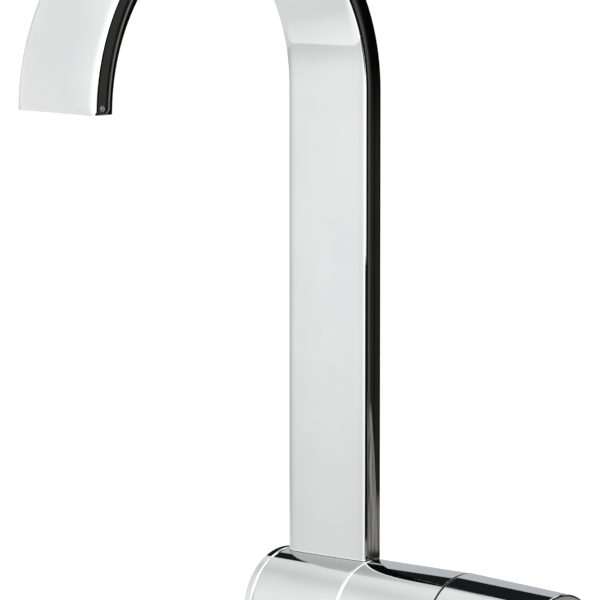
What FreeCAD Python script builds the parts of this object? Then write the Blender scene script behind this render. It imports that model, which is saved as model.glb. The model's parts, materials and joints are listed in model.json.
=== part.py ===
import FreeCAD, Part
import math
import os

# Swivel kitchen tap with a flat gooseneck spout.
# A cylinder lies across a short pedestal. It carries the spout, and a turning handle at its right end.
# Millimetres. The origin is on the worktop, on the swivel axis. +Z is up, +X is the handle's end of the
# cylinder and -Y is the front, where the outlet hangs over the sink.

V = FreeCAD.Vector
X_DIR = V(1, 0, 0)
Y_DIR = V(0, 1, 0)
Z_DIR = V(0, 0, 1)

# Spout
spout_width = 42.0
spout_thickness = 10.0
spout_wall = 1.5
spout_edge_chamfer = 0.7
spout_reach = 154.0
column_height = 215.4

# Horizontal body
body_radius = 24.5
body_axis_height = 58.0
shoulder_right = 1.2
shoulder_left = 3.2
seam_chamfer = 0.6
pedestal_radius = 19.5
saddle_fillet = 1.5

# End cap on the left
end_cap_thickness = 4.0
end_cap_chamfer = 0.4
end_cap_spigot_radius = 16.9
end_cap_spigot_length = 6.0
end_cap_spigot_wall = 4.0
end_cap_web = 1.0
left_pocket_depth = 10.0

# Sleeve over the cartridge, and the handle
sleeve_length = 47.9
sleeve_wall = 2.3
sleeve_web = 2.0
handle_length = 50.8
handle_end_radius = 22.2
handle_wall = 2.2
handle_end_wall = 3.0
handle_end_chamfer = 0.6
handle_boss_floor = 4.0
handle_seam = 0.8
glide_wall = 2.0
glide_length = 7.0
glide_flange_inset = 0.9
handle_skirt_length = 6.0
handle_skirt_wall = 1.8
handle_boss_radius = 8.0
handle_boss_gap = 3.0
handle_web = 3.0
handle_turn = 140.0

# Cartridge
cartridge_radius = 17.4
cartridge_depth = 20.0
cartridge_seat_inset = 4.0
cartridge_neck_radius = 15.0
cartridge_neck_length = 10.0
cartridge_wall = 3.0
cartridge_base_thickness = 5.0
cartridge_roof = 2.5
nut_thread_step = 1.2
nut_thread_length = 8.0
nut_flange_thickness = 4.0
nut_flange_margin = 1.2
nut_notch_count = 6
nut_notch_width = 4.0
nut_notch_depth = 2.0
nut_notch_rise = 2.0
disc_thickness = 4.0
moving_disc_thickness = 3.5
spindle_flange_thickness = 4.0
spindle_flange_gap = 1.0
thrust_washer_gap = 2.0
spindle_radius = 5.0
spindle_square = 7.6
spindle_square_start = 1.0
spindle_reach = 26.0
port_radius = 3.0
inlet_port_offset_y = 6.5
inlet_port_drop = 7.5
port_seal_wall = 1.6
port_seal_depth = 1.5
port_run_out = 0.5
chamber_depth = 2.0
chamber_overlap = 6.0
chamber_centre_radius = 4.5
drive_pin_radius = 1.5
drive_pin_offset = 9.0
drive_pin_length = 1.0
stop_ring_thickness = 2.4
stop_tab_half = 9.0
stop_tab_inset = 2.2
stop_spare_angle = 1.0

# Fixed base and clamp
shank_radius = 16.5
shank_length = 52.0
hose_bore_radius = 12.5
post_radius = 15.0
post_top = 36.0
post_chamfer = 1.0
base_ring_radius = 26.0
base_ring_top_radius = 21.0
base_ring_edge_height = 4.0
base_ring_height = 12.0
base_flange_radius = 23.4
base_flange_thickness = 5.0
gasket_thickness = 1.5
gasket_inset = 1.0
glide_washer_thickness = 0.5
glide_washer_inset = 0.8
bush_wall = 1.5
bush_length = 7.0
bush_inset = 1.2
worktop_space = 30.0
clamp_radius = 27.0
clamp_rubber_thickness = 3.0
clamp_washer_thickness = 2.0
back_nut_across_flats = 46.0
back_nut_thickness = 9.0
back_nut_corner_slope = 0.6
swivel_half_range = 70.0
stop_screw_height = 24.2
stop_screw_radius = 3.0
stop_tip_radius = 2.0
stop_screw_recess = 0.6
stop_groove_depth = 1.6

# Inlets for the two hoses. They stand under the cartridge's two inlet ports
inlet_thread_radius = 4.5
inlet_depth = 9.0
inlet_face_height = 37.6

# Spout foot, whose flat tongue plugs into a pocket in the body
foot_tongue_width = 22.0
foot_tongue_thickness = 6.4
foot_tongue_length = 14.5
foot_plug_height = 14.0
foot_slot_width = 16.0
foot_slot_thickness = 2.6
foot_seal_depth = 1.0
foot_seal_height = 1.4
lock_screw_radius = 2.5
lock_screw_length = 14.0
lock_groove_depth = 0.8
lock_groove_edge = 0.7
foot_seal_pitch = 3.0

# Outlet
outlet_insert_length = 11.0
outlet_screen_thickness = 0.8
outlet_slot_count = 12
outlet_slot_width = 1.7
outlet_screen_slot = 0.5
outlet_screw_radius = 1.25
outlet_screw_rise = 2.6
outlet_screw_from_front = 3.8
outlet_screw_depth = 1.0
outlet_screw_socket = 0.7
outlet_insert_rim = 1.7

# O-rings and small fasteners
oring_section = 2.0
static_oring_section = 1.6
oring_groove_width = 2.2
grub_radius = 2.5
grub_length = 6.0
grub_socket_radius = 1.4
plug_radius = 3.4
grub_position = 7.0
socket_share = 0.4

# Clearances
seat_gap = 0.05
running_gap = 0.1
slide_gap = 0.2
ceramic_gap = 0.02

# How far a cut runs past the face that it opens, and a joined piece into its neighbour
overshoot = 1.0
overshoot_angle = 1.0

# Places that follow from the sizes
axis_z = body_axis_height
column_side = spout_width / 2
seam_right = column_side + shoulder_right
seam_left = -column_side - shoulder_left
left_end = seam_left - end_cap_thickness
end_cap_oring_x = seam_left + end_cap_spigot_length / 2
seam_handle = seam_right + sleeve_length
handle_end = seam_handle + handle_length
spring_z = axis_z + column_height
bend_radius = spout_reach / 2
bend_centre_y = -bend_radius
body_top = axis_z + body_radius

seat_x = seam_right + cartridge_seat_inset
shoulder_x = seat_x + cartridge_depth
boss_end = shoulder_x + nut_thread_length - sleeve_web
cartridge_bore = cartridge_radius + running_gap
sleeve_bore = body_radius - sleeve_wall
glide_bore = sleeve_bore - glide_wall
boss_radius = sleeve_bore - running_gap
nut_thread_radius = cartridge_radius + nut_thread_step
web_face = boss_end + sleeve_web
nut_face = web_face + nut_flange_thickness
neck_end = shoulder_x + cartridge_neck_length
base_top_x = seat_x + cartridge_base_thickness
fixed_disc_x = base_top_x
moving_disc_x = fixed_disc_x + disc_thickness + ceramic_gap
spindle_x = moving_disc_x + moving_disc_thickness + ceramic_gap
spindle_flange_top = spindle_x + spindle_flange_thickness
roof_x = shoulder_x - cartridge_roof
spindle_end = neck_end + spindle_reach
disc_radius = cartridge_radius - cartridge_wall - running_gap
handle_left = seam_handle + handle_seam / 2
sleeve_right = seam_handle - handle_seam / 2

flange_bottom = gasket_thickness
flange_top = flange_bottom + base_flange_thickness
pedestal_bottom = base_ring_height + glide_washer_thickness + running_gap
bush_outer = post_radius + bush_wall
pedestal_bore = bush_outer + seat_gap
clamp_top = -worktop_space
clamp_washer_top = clamp_top - clamp_rubber_thickness
back_nut_top = clamp_washer_top - clamp_washer_thickness
back_nut_bottom = back_nut_top - back_nut_thickness
shank_bottom = -shank_length
inlet_z = axis_z - inlet_port_drop
tongue_bottom = body_top - foot_tongue_length
lock_z = tongue_bottom + lock_screw_radius + lock_groove_edge


def place_on_x(shape, x, y=0.0, z=axis_z):
    """Turns a shape made along +Z so that it lies along +X, from x."""
    shape.rotate(V(0, 0, 0), Y_DIR, 90)
    shape.translate(V(x, y, z))
    return shape


def rod_x(radius, x0, x1, y=0.0, z=axis_z):
    return Part.makeCylinder(radius, x1 - x0, V(x0, y, z), X_DIR)


def rod_z(radius, z0, z1, x=0.0, y=0.0):
    return Part.makeCylinder(radius, z1 - z0, V(x, y, z0), Z_DIR)


def rod_y(radius, y0, y1, z):
    return Part.makeCylinder(radius, y1 - y0, V(0, y0, z), Y_DIR)


def tube_x(outer, inner, x0, x1, y=0.0, z=axis_z):
    return rod_x(outer, x0, x1, y, z).cut(rod_x(inner, x0 - overshoot, x1 + overshoot, y, z))


def tube_z(outer, inner, z0, z1):
    return rod_z(outer, z0, z1).cut(rod_z(inner, z0 - overshoot, z1 + overshoot))


def turned_x(outline):
    """A solid turned about the body's axis, from (x, radius) points."""
    points = [V(x, 0, axis_z + r) for x, r in outline]
    face = Part.Face(Part.makePolygon(points + points[:1]))
    return face.revolve(V(0, 0, axis_z), X_DIR, 360)


def turned_z(outline):
    """A solid turned about the swivel axis, from (radius, z) points."""
    points = [V(r, 0, z) for r, z in outline]
    face = Part.Face(Part.makePolygon(points + points[:1]))
    return face.revolve(V(0, 0, 0), Z_DIR, 360)


def ring_x(radius, section, x):
    """An o-ring round the body's axis, squeezed flat by its groove. Its inside has the given radius."""
    half = section / 2
    corner = section / 4
    outer = radius + section
    return turned_x([(x - half, radius + corner), (x - corner, radius), (x + corner, radius),
                     (x + half, radius + corner), (x + half, outer - corner), (x + corner, outer),
                     (x - corner, outer), (x - half, outer - corner)])


def chamfer_edges(shape, size, chosen):
    """Chamfers the edges that the test picks."""
    edges = [e for e in shape.Edges if chosen(e)]
    return shape.makeChamfer(size, edges)


def is_circle_at_x(edge, x, radius):
    curve = edge.Curve
    if not isinstance(curve, Part.Circle):
        return False
    same_place = abs(curve.Center.x - x) < 1e-3 and abs(curve.Radius - radius) < 1e-3
    return same_place and abs(curve.Axis.x) > 0.99


def is_circle_at_z(edge, z, radius):
    curve = edge.Curve
    if not isinstance(curve, Part.Circle):
        return False
    same_place = abs(curve.Center.z - z) < 1e-3 and abs(curve.Radius - radius) < 1e-3
    return same_place and abs(curve.Axis.z) > 0.99


def flat_section(width, depth, corner, z):
    """A level face centred on the swivel axis: a rectangle, with its corners cut at 45 degrees."""
    x, y = width / 2, depth / 2
    outline = [(x, y - corner), (x - corner, y), (corner - x, y), (-x, y - corner),
               (-x, corner - y), (corner - x, -y), (x - corner, -y), (x, corner - y)]
    if corner == 0:
        outline = outline[::2]
    points = [V(px, py, z) for px, py in outline]
    return Part.Face(Part.makePolygon(points + points[:1]))


def gooseneck(width, depth, corner, from_z):
    """The column and its half-round bend, as a solid bar of the given section."""
    column = flat_section(width, depth, corner, from_z).extrude(Z_DIR * (spring_z - from_z))
    section = flat_section(width, depth, corner, spring_z)
    bend = section.revolve(V(0, bend_centre_y, spring_z), X_DIR, 180)
    return column.fuse(bend).removeSplitter()


def bend_piece(width, depth, from_angle, to_angle):
    """A length of bar that follows the bend between two angles, measured from the column."""
    face = flat_section(width, depth, 0, spring_z)
    face.rotate(V(0, bend_centre_y, spring_z), X_DIR, from_angle)
    return face.revolve(V(0, bend_centre_y, spring_z), X_DIR, to_angle - from_angle)


def hexagon_z(across_flats, z0, z1):
    corner = across_flats / math.sqrt(3)
    points = [V(corner * math.cos(math.radians(60 * k)), corner * math.sin(math.radians(60 * k)), z0)
              for k in range(7)]
    return Part.Face(Part.makePolygon(points)).extrude(Z_DIR * (z1 - z0))


def hex_socket(radius, depth):
    """The hexagonal hole of a grub screw, along +Z from the origin."""
    return hexagon_z(radius * math.sqrt(3), 0, depth)


def grub_screw(radius, length, socket_radius, tip_radius=None, tip_length=0.0):
    """A grub screw along +Z: tip at the bottom, socket at the top."""
    screw = rod_z(radius, tip_length, length)
    if tip_length:
        screw = screw.fuse(rod_z(tip_radius, 0, tip_length))
    socket = hex_socket(socket_radius, length * socket_share + overshoot)
    socket.translate(V(0, 0, length - length * socket_share))
    return screw.cut(socket).removeSplitter()


# Spout
first_seal_z = lock_z + lock_screw_radius + lock_groove_edge + foot_seal_height
foot_seal_heights = [first_seal_z, first_seal_z + foot_seal_pitch]
outlet_insert_angle = math.degrees(outlet_insert_length / bend_radius)
inner_width = spout_width - 2 * spout_wall
inner_thickness = spout_thickness - 2 * spout_wall
outlet_y = bend_centre_y - bend_radius
outlet_slot_pitch = (inner_width - 2 * outlet_insert_rim) / outlet_slot_count
outlet_slot_places = [(k - (outlet_slot_count - 1) / 2) * outlet_slot_pitch
                      for k in range(outlet_slot_count)]
outlet_screw_length = spout_wall + outlet_screw_depth - running_gap
outlet_screw_y = outlet_y - spout_thickness / 2 + outlet_screw_from_front
outlet_screw_z = spring_z + outlet_screw_rise
body_envelope = rod_x(body_radius + seat_gap, left_end - overshoot, seam_right + overshoot)


def spout():
    """The flat tube: a straight column and a half-round bend, cut to sit on the round body."""
    outer = gooseneck(spout_width, spout_thickness, spout_edge_chamfer, axis_z + body_radius / 2)
    inner = gooseneck(inner_width, inner_thickness, 0, axis_z)
    tube = outer.cut(inner).cut(body_envelope)
    screw_hole = rod_x(outlet_screw_radius + seat_gap, column_side - spout_wall - overshoot,
                       column_side + overshoot, outlet_screw_y, outlet_screw_z)
    return tube.cut(screw_hole)


def flat_rod(width, thickness, z0, z1):
    """A flat bar along Z with round edges."""
    radius = thickness / 2
    middle = width / 2 - radius
    bar = Part.makeBox(2 * middle, thickness, z1 - z0, V(-middle, -radius, z0))
    return bar.fuse([rod_z(radius, z0, z1, side * middle) for side in (-1, 1)]).removeSplitter()


def foot_seal(z, gap):
    """A flat ring round the tongue. With a gap, it's the groove that holds the ring."""
    inner_width = foot_tongue_width - 2 * foot_seal_depth
    inner_thickness = foot_tongue_thickness - 2 * foot_seal_depth
    low = z - foot_seal_height / 2 - gap
    high = z + foot_seal_height / 2 + gap
    ring = flat_rod(foot_tongue_width, foot_tongue_thickness, low, high)
    return ring.cut(flat_rod(inner_width, inner_thickness, low - overshoot, high + overshoot))


def spout_foot():
    """The plug brazed into the tube, with the flat tongue that goes down into the body."""
    plug_width = inner_width - 2 * seat_gap
    plug_depth = inner_thickness - 2 * seat_gap
    plug_bottom = axis_z + body_radius / 2
    plug_top = body_top + foot_plug_height
    plug = Part.makeBox(plug_width, plug_depth, plug_top - plug_bottom,
                        V(-plug_width / 2, -plug_depth / 2, plug_bottom))
    plug = plug.cut(body_envelope)
    foot = plug.fuse(flat_rod(foot_tongue_width, foot_tongue_thickness, tongue_bottom, plug_top))
    foot = foot.cut(flat_rod(foot_slot_width, foot_slot_thickness, tongue_bottom - overshoot,
                             plug_top + overshoot))
    for z in foot_seal_heights:
        foot = foot.cut(foot_seal(z, seat_gap))
    # the groove along the tongue's back that the lock screw bites into
    groove = Part.makeBox(foot_tongue_width, foot_tongue_thickness, 2 * (lock_screw_radius + slide_gap),
                          V(-foot_tongue_width / 2, foot_tongue_thickness / 2 - lock_groove_depth,
                            lock_z - lock_screw_radius - slide_gap))
    return foot.cut(groove).removeSplitter()


def foot_seals():
    return [foot_seal(z, 0) for z in foot_seal_heights]


def spout_lock_screw():
    """Grub screw at the back of the body. Its end sits in the tongue's groove."""
    screw = grub_screw(lock_screw_radius, lock_screw_length, grub_socket_radius)
    screw.rotate(V(0, 0, 0), X_DIR, -90)
    screw.translate(V(0, foot_tongue_thickness / 2 - lock_groove_depth + seat_gap, lock_z))
    return screw


def outlet_insert():
    """Plastic flow former that follows the bend. Its slots run the whole way through."""
    start = 180 - outlet_insert_angle
    insert = bend_piece(inner_width - 2 * running_gap, inner_thickness - 2 * running_gap,
                        start, 180 - math.degrees(outlet_screen_thickness / bend_radius))
    for x in outlet_slot_places:
        slot = bend_piece(outlet_slot_width, inner_thickness - 2 * outlet_insert_rim,
                          start - overshoot_angle, 180 + overshoot_angle)
        slot.translate(V(x, 0, 0))
        insert = insert.cut(slot)
    tip_start = column_side - spout_wall - outlet_screw_depth
    tip = rod_x(outlet_screw_radius + running_gap, tip_start, column_side, outlet_screw_y, outlet_screw_z)
    return insert.cut(tip)


def outlet_screen():
    """Thin slotted plate at the mouth of the outlet."""
    angle = math.degrees(outlet_screen_thickness / bend_radius)
    screen = bend_piece(inner_width - 2 * running_gap, inner_thickness - 2 * running_gap, 180 - angle, 180)
    slot_length = inner_thickness - 2 * outlet_insert_rim
    for x in outlet_slot_places:
        for side in (-1, 1):
            slot_x = x + side * outlet_slot_width / 4 - outlet_screen_slot / 2
            slot = Part.makeBox(outlet_screen_slot, slot_length, 3 * outlet_screen_thickness,
                                V(slot_x, outlet_y - slot_length / 2, spring_z - outlet_screen_thickness))
            screen = screen.cut(slot)
    return screen


def outlet_screw():
    """Small grub screw in the side of the outlet, which holds the insert."""
    screw = grub_screw(outlet_screw_radius, outlet_screw_length, outlet_screw_socket)
    start = column_side - running_gap / 2 - outlet_screw_length
    return place_on_x(screw, start, outlet_screw_y, outlet_screw_z)


# Body
inlet_ports = [(side * inlet_port_offset_y, inlet_z) for side in (-1, 1)]
cartridge_ports = inlet_ports + [(0.0, axis_z)]
port_circle_radius = math.hypot(inlet_port_offset_y, inlet_port_drop)
port_half_angle = math.degrees(math.asin(port_radius / port_circle_radius))
cold_port_angle = math.degrees(math.atan2(inlet_port_offset_y, -inlet_port_drop))
drill_start = -port_radius - port_run_out


def body():
    """Cast body: the round cross piece, the pedestal below it and the cartridge boss on the right."""
    cross = rod_x(body_radius, seam_left, seam_right)
    pedestal = rod_z(pedestal_radius, pedestal_bottom, axis_z)
    shape = cross.fuse(pedestal)
    saddle = [e for e in shape.Edges if not isinstance(e.Curve, (Part.Circle, Part.Line))]
    shape = shape.makeFillet(saddle_fillet, saddle)
    for x in (seam_left, seam_right):
        shape = chamfer_edges(shape, seam_chamfer, lambda e: is_circle_at_x(e, x, body_radius))
    shape = chamfer_edges(shape, seam_chamfer, lambda e: is_circle_at_z(e, pedestal_bottom, pedestal_radius))
    shape = shape.fuse(rod_x(boss_radius, seam_right - overshoot, boss_end)).removeSplitter()
    # left pocket, cartridge bore and thread, and the bore for the swivel post
    left_pocket = rod_x(end_cap_spigot_radius + running_gap, seam_left - overshoot,
                        seam_left + left_pocket_depth)
    shape = shape.cut(left_pocket)
    shape = shape.cut(rod_x(cartridge_bore, seat_x, boss_end + overshoot))
    shape = shape.cut(rod_x(nut_thread_radius + seat_gap, shoulder_x - overshoot, boss_end + overshoot))
    shape = shape.cut(rod_z(pedestal_bore, pedestal_bottom - overshoot, inlet_face_height))
    # waterways: up from the hose inlets, across to the cartridge, and back to the spout
    thread_top = inlet_face_height + inlet_depth
    for y, z in inlet_ports:
        shape = shape.cut(rod_z(inlet_thread_radius, inlet_face_height - overshoot, thread_top, 0, y))
        shape = shape.cut(rod_z(port_radius, inlet_face_height, z, 0, y))
        shape = shape.cut(rod_x(port_radius, drill_start, seat_x + overshoot, y, z))
    shape = shape.cut(rod_x(port_radius, drill_start, seat_x + overshoot))
    shape = shape.cut(rod_z(port_radius, axis_z, tongue_bottom))
    shape = shape.cut(flat_rod(foot_tongue_width + 2 * seat_gap, foot_tongue_thickness + 2 * seat_gap,
                               tongue_bottom - seat_gap, body_top + overshoot))
    # screw holes at the back
    lock_hole = rod_y(lock_screw_radius + seat_gap, 0, body_radius + overshoot, lock_z)
    stop_hole = rod_y(stop_screw_radius + seat_gap, post_radius, pedestal_radius + overshoot,
                      stop_screw_height)
    return shape.cut(lock_hole).cut(stop_hole)


def end_cap():
    """Left end: a disc as wide as the body, on a spigot with an o-ring."""
    disc = rod_x(body_radius, left_end, seam_left - seat_gap)
    disc = chamfer_edges(disc, end_cap_chamfer, lambda e: is_circle_at_x(e, left_end, body_radius))
    disc = chamfer_edges(disc, seam_chamfer, lambda e: is_circle_at_x(e, seam_left - seat_gap, body_radius))
    spigot_end = seam_left + end_cap_spigot_length
    spigot = rod_x(end_cap_spigot_radius, seam_left - overshoot, spigot_end)
    hollow = end_cap_spigot_radius - end_cap_spigot_wall
    spigot = spigot.cut(rod_x(hollow, seam_left + end_cap_web, spigot_end + overshoot))
    cap = disc.fuse(spigot)
    groove = tube_x(end_cap_spigot_radius + overshoot, end_cap_spigot_radius - static_oring_section,
                    end_cap_oring_x - oring_groove_width / 2, end_cap_oring_x + oring_groove_width / 2)
    return cap.cut(groove).removeSplitter()


def end_cap_oring():
    return ring_x(end_cap_spigot_radius - static_oring_section, static_oring_section, end_cap_oring_x)


# Cartridge. Its angles start at the top and grow the way the handle turns
seal_radius = port_radius + port_seal_wall
stop_tab_reach = cartridge_neck_radius - stop_tab_inset
stop_pocket_radius = spindle_radius + oring_section + running_gap
stop_ring_x = neck_end - stop_ring_thickness


def port_cut(shape, radius, x0, x1):
    for y, z in cartridge_ports:
        shape = shape.cut(rod_x(radius, x0, x1, y, z))
    return shape


def cartridge_base():
    """Plastic foot of the cartridge, with its three ports and their seal pockets."""
    shape = rod_x(cartridge_radius, seat_x, base_top_x)
    shape = port_cut(shape, port_radius, seat_x - overshoot, base_top_x + overshoot)
    return port_cut(shape, seal_radius, seat_x - overshoot, seat_x + port_seal_depth)


def port_seals():
    return [tube_x(seal_radius - seat_gap, port_radius, seat_x, seat_x + port_seal_depth - seat_gap, y, z)
            for y, z in cartridge_ports]


def cartridge_shell():
    """Cup round the discs, with the neck that guides the spindle."""
    cup = rod_x(cartridge_radius, base_top_x, shoulder_x)
    neck = rod_x(cartridge_neck_radius, shoulder_x - overshoot, neck_end)
    shape = cup.fuse(neck).removeSplitter()
    shape = shape.cut(rod_x(cartridge_radius - cartridge_wall, base_top_x - overshoot, roof_x))
    shape = shape.cut(rod_x(spindle_radius + running_gap, roof_x - overshoot, neck_end + overshoot))
    shape = shape.cut(rod_x(stop_pocket_radius, stop_ring_x - 2 * oring_section, neck_end + overshoot))
    # the recess in which the stop ring's tab turns, with a spare angle at each end
    beside_tab = stop_tab_half + stop_spare_angle
    recess = sector_x(stop_tab_reach + slide_gap, -beside_tab, handle_turn + beside_tab,
                      stop_ring_x, neck_end + overshoot)
    return shape.cut(recess).removeSplitter()


def sector_x(radius, from_angle, to_angle, x0, x1):
    """A sector round the body's axis, between two of the cartridge's angles."""
    sector = Part.makeCylinder(radius, x1 - x0, V(0, 0, 0), Z_DIR, to_angle - from_angle)
    sector.rotate(V(0, 0, 0), Z_DIR, from_angle + 180)
    return place_on_x(sector, x0)


def stop_ring():
    """Ring on the spindle whose tab limits the turn."""
    hub_radius = spindle_radius + oring_section
    x0 = stop_ring_x + running_gap
    ring = rod_x(hub_radius, x0, neck_end)
    tab = sector_x(stop_tab_reach, -stop_tab_half, stop_tab_half, x0, neck_end)
    hole = rod_x(spindle_radius + seat_gap, x0 - overshoot, neck_end + overshoot)
    return ring.fuse(tab).cut(hole).removeSplitter()


def fixed_disc():
    top = fixed_disc_x + disc_thickness
    disc = rod_x(disc_radius, fixed_disc_x, top)
    return port_cut(disc, port_radius, fixed_disc_x - overshoot, top + overshoot)


def moving_disc():
    """Ceramic disc with the mixing chamber in its underside and two drive holes on top."""
    top = moving_disc_x + moving_disc_thickness
    disc = rod_x(disc_radius - running_gap, moving_disc_x, top)
    # closed at rest, just short of the cold port, and past it at the end of the turn, where only hot is open
    chamber_to = cold_port_angle - port_half_angle - chamber_overlap
    chamber_from = cold_port_angle + port_half_angle - handle_turn
    chamber_end = moving_disc_x + chamber_depth
    chamber_radius = port_circle_radius + port_radius
    chamber = sector_x(chamber_radius, chamber_from, chamber_to, moving_disc_x - overshoot, chamber_end)
    centre = rod_x(chamber_centre_radius, moving_disc_x - overshoot, chamber_end)
    disc = disc.cut(chamber.fuse(centre))
    for side in (-1, 1):
        disc = disc.cut(rod_x(drive_pin_radius + running_gap, top - drive_pin_length - running_gap,
                              top + overshoot, side * drive_pin_offset))
    return disc


def spindle():
    """Carrier flange, round stem and the square that the handle sits on."""
    shape = rod_x(disc_radius - spindle_flange_gap, spindle_x, spindle_flange_top)
    shape = shape.fuse(rod_x(spindle_radius, spindle_x, spindle_end))
    for side in (-1, 1):
        pin = rod_x(drive_pin_radius, spindle_x - drive_pin_length, spindle_x + overshoot,
                    side * drive_pin_offset)
        shape = shape.fuse(pin)
    half = spindle_square / 2
    blank = rod_x(spindle_radius + overshoot, neck_end + spindle_square_start, spindle_end + overshoot)
    square = Part.makeBox(spindle_end + 2 * overshoot - neck_end, spindle_square, spindle_square,
                          V(neck_end, -half, axis_z - half))
    return shape.cut(blank.cut(square)).removeSplitter()


def thrust_washer():
    return tube_x(disc_radius - thrust_washer_gap, spindle_radius + running_gap,
                  spindle_flange_top + running_gap, roof_x - seat_gap)


def spindle_oring():
    x = stop_ring_x - oring_section
    return ring_x(spindle_radius + seat_gap, oring_section - seat_gap, x)


def cartridge_nut():
    """Ring nut: the thread presses on the cartridge, and the flange holds the sleeve's web."""
    thread = rod_x(nut_thread_radius, shoulder_x, web_face + overshoot)
    flange = rod_x(boss_radius - nut_flange_margin, web_face, nut_face)
    bore = rod_x(cartridge_neck_radius + slide_gap, shoulder_x - overshoot, nut_face + overshoot)
    nut = thread.fuse(flange).cut(bore)
    rim = nut_flange_margin + nut_notch_rise
    for k in range(nut_notch_count):
        notch = Part.makeBox(nut_notch_depth + overshoot, nut_notch_width, rim,
                             V(nut_face - nut_notch_depth, -nut_notch_width / 2, axis_z + boss_radius - rim))
        notch.rotate(V(0, 0, axis_z), X_DIR, 360 / nut_notch_count * k)
        nut = nut.cut(notch)
    return nut.removeSplitter()


def sleeve():
    """Polished tube over the cartridge boss. Its inner web is clamped under the ring nut."""
    shape = rod_x(body_radius, seam_right + seat_gap, sleeve_right)
    for x in (seam_right + seat_gap, sleeve_right):
        shape = chamfer_edges(shape, seam_chamfer, lambda e: is_circle_at_x(e, x, body_radius))
    shape = shape.cut(rod_x(sleeve_bore, seam_right - overshoot, boss_end))
    shape = shape.cut(rod_x(sleeve_bore, web_face, sleeve_right + overshoot))
    return shape.cut(rod_x(nut_thread_radius + running_gap, boss_end - overshoot, web_face + overshoot))


def glide_bush():
    """Black plastic bush in the sleeve's mouth. Its flange is the dark line beside the handle."""
    shape = rod_x(sleeve_bore - seat_gap, sleeve_right - glide_length, sleeve_right)
    flange = rod_x(body_radius - glide_flange_inset, sleeve_right, handle_left - running_gap)
    bore = rod_x(glide_bore, sleeve_right - glide_length - overshoot, handle_left + overshoot)
    return shape.fuse(flange).cut(bore).removeSplitter()


# Handle
grub_x = seam_handle + grub_position
handle_outline = [(handle_left, 0), (handle_left, body_radius), (handle_end, handle_end_radius),
                  (handle_end, 0)]


def handle():
    """Tapered hollow handle with a guiding skirt on the left and a square socket in its middle."""
    shell = turned_x(handle_outline)
    shell = chamfer_edges(shell, seam_chamfer, lambda e: is_circle_at_x(e, handle_left, body_radius))
    shell = chamfer_edges(shell, handle_end_chamfer,
                          lambda e: is_circle_at_x(e, handle_end, handle_end_radius))
    floor_x = handle_end - handle_end_wall
    mouth_x = handle_left - overshoot
    hollow = turned_x([(mouth_x, 0), (mouth_x, body_radius - handle_wall),
                       (floor_x, handle_end_radius - handle_wall), (floor_x, 0)])
    shell = shell.cut(hollow)
    skirt_radius = glide_bore - running_gap
    skirt_bore = skirt_radius - handle_skirt_wall
    web_end = handle_left + handle_web
    skirt_web = tube_x(body_radius - handle_wall / 2, skirt_bore, handle_left + seam_chamfer, web_end)
    skirt = tube_x(skirt_radius, skirt_bore, handle_left - handle_skirt_length, web_end)
    boss_start = neck_end + handle_boss_gap
    boss = rod_x(handle_boss_radius, boss_start, floor_x + overshoot)
    shape = shell.fuse([skirt_web, skirt, boss])
    half = spindle_square / 2 + seat_gap
    socket = Part.makeBox(spindle_end + overshoot - boss_start, 2 * half, 2 * half,
                          V(boss_start, -half, axis_z - half))
    shape = shape.cut(socket)
    shape = shape.cut(rod_x(spindle_radius, spindle_end, floor_x - handle_boss_floor))
    # the grub screw's thread, and the hole in the shell that lets the key in
    below_boss = axis_z - handle_boss_radius - overshoot
    shape = shape.cut(rod_z(grub_radius + seat_gap, below_boss, axis_z, grub_x))
    inside_shell = axis_z - body_radius + 2 * handle_wall
    shape = shape.cut(rod_z(plug_radius + seat_gap, axis_z - body_radius - overshoot, inside_shell, grub_x))
    return shape.removeSplitter()


def handle_screw():
    """Grub screw that presses on the spindle's square from below."""
    screw = grub_screw(grub_radius, grub_length, grub_socket_radius)
    screw.rotate(V(0, 0, 0), X_DIR, 180)
    screw.translate(V(grub_x, 0, axis_z - spindle_square / 2 - running_gap))
    return screw


def handle_plug():
    """Round plug over the screw, flush with the underside of the handle."""
    underside = axis_z - body_radius
    plug = rod_z(plug_radius, underside - overshoot, underside + handle_wall, grub_x)
    return plug.common(turned_x(handle_outline))


# Base and clamp
groove_inner = post_radius - stop_groove_depth


def base_post():
    """Hollow threaded shank below, and the post on which the tap swivels above, turned from one bar."""
    shape = turned_z([(hose_bore_radius, shank_bottom), (shank_radius - post_chamfer, shank_bottom),
                      (shank_radius, shank_bottom + post_chamfer), (shank_radius, flange_top),
                      (post_radius, flange_top), (post_radius, post_top - post_chamfer),
                      (post_radius - post_chamfer, post_top), (hose_bore_radius, post_top)])
    # arc-shaped groove for the stop screw, centred on the back
    half_angle = swivel_half_range + math.degrees(math.asin((stop_tip_radius + slide_gap) / groove_inner))
    low = stop_screw_height - stop_tip_radius - running_gap
    high = stop_screw_height + stop_tip_radius + running_gap
    sector = Part.makeCylinder(post_radius + overshoot, high - low, V(0, 0, low), Z_DIR, 2 * half_angle)
    sector.rotate(V(0, 0, 0), Z_DIR, 90 - half_angle)
    return shape.cut(sector.cut(rod_z(groove_inner, low - overshoot, high + overshoot)))


def base_flange():
    """Ring screwed and soldered on the upper end of the shank's thread. It rests on the gasket."""
    ring = tube_z(base_flange_radius, shank_radius + seat_gap, flange_bottom, flange_top)
    return chamfer_edges(ring, seam_chamfer, lambda e: is_circle_at_z(e, flange_top, base_flange_radius))


def base_gasket():
    return tube_z(base_ring_radius - gasket_inset, shank_radius + slide_gap, 0, gasket_thickness)


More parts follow.
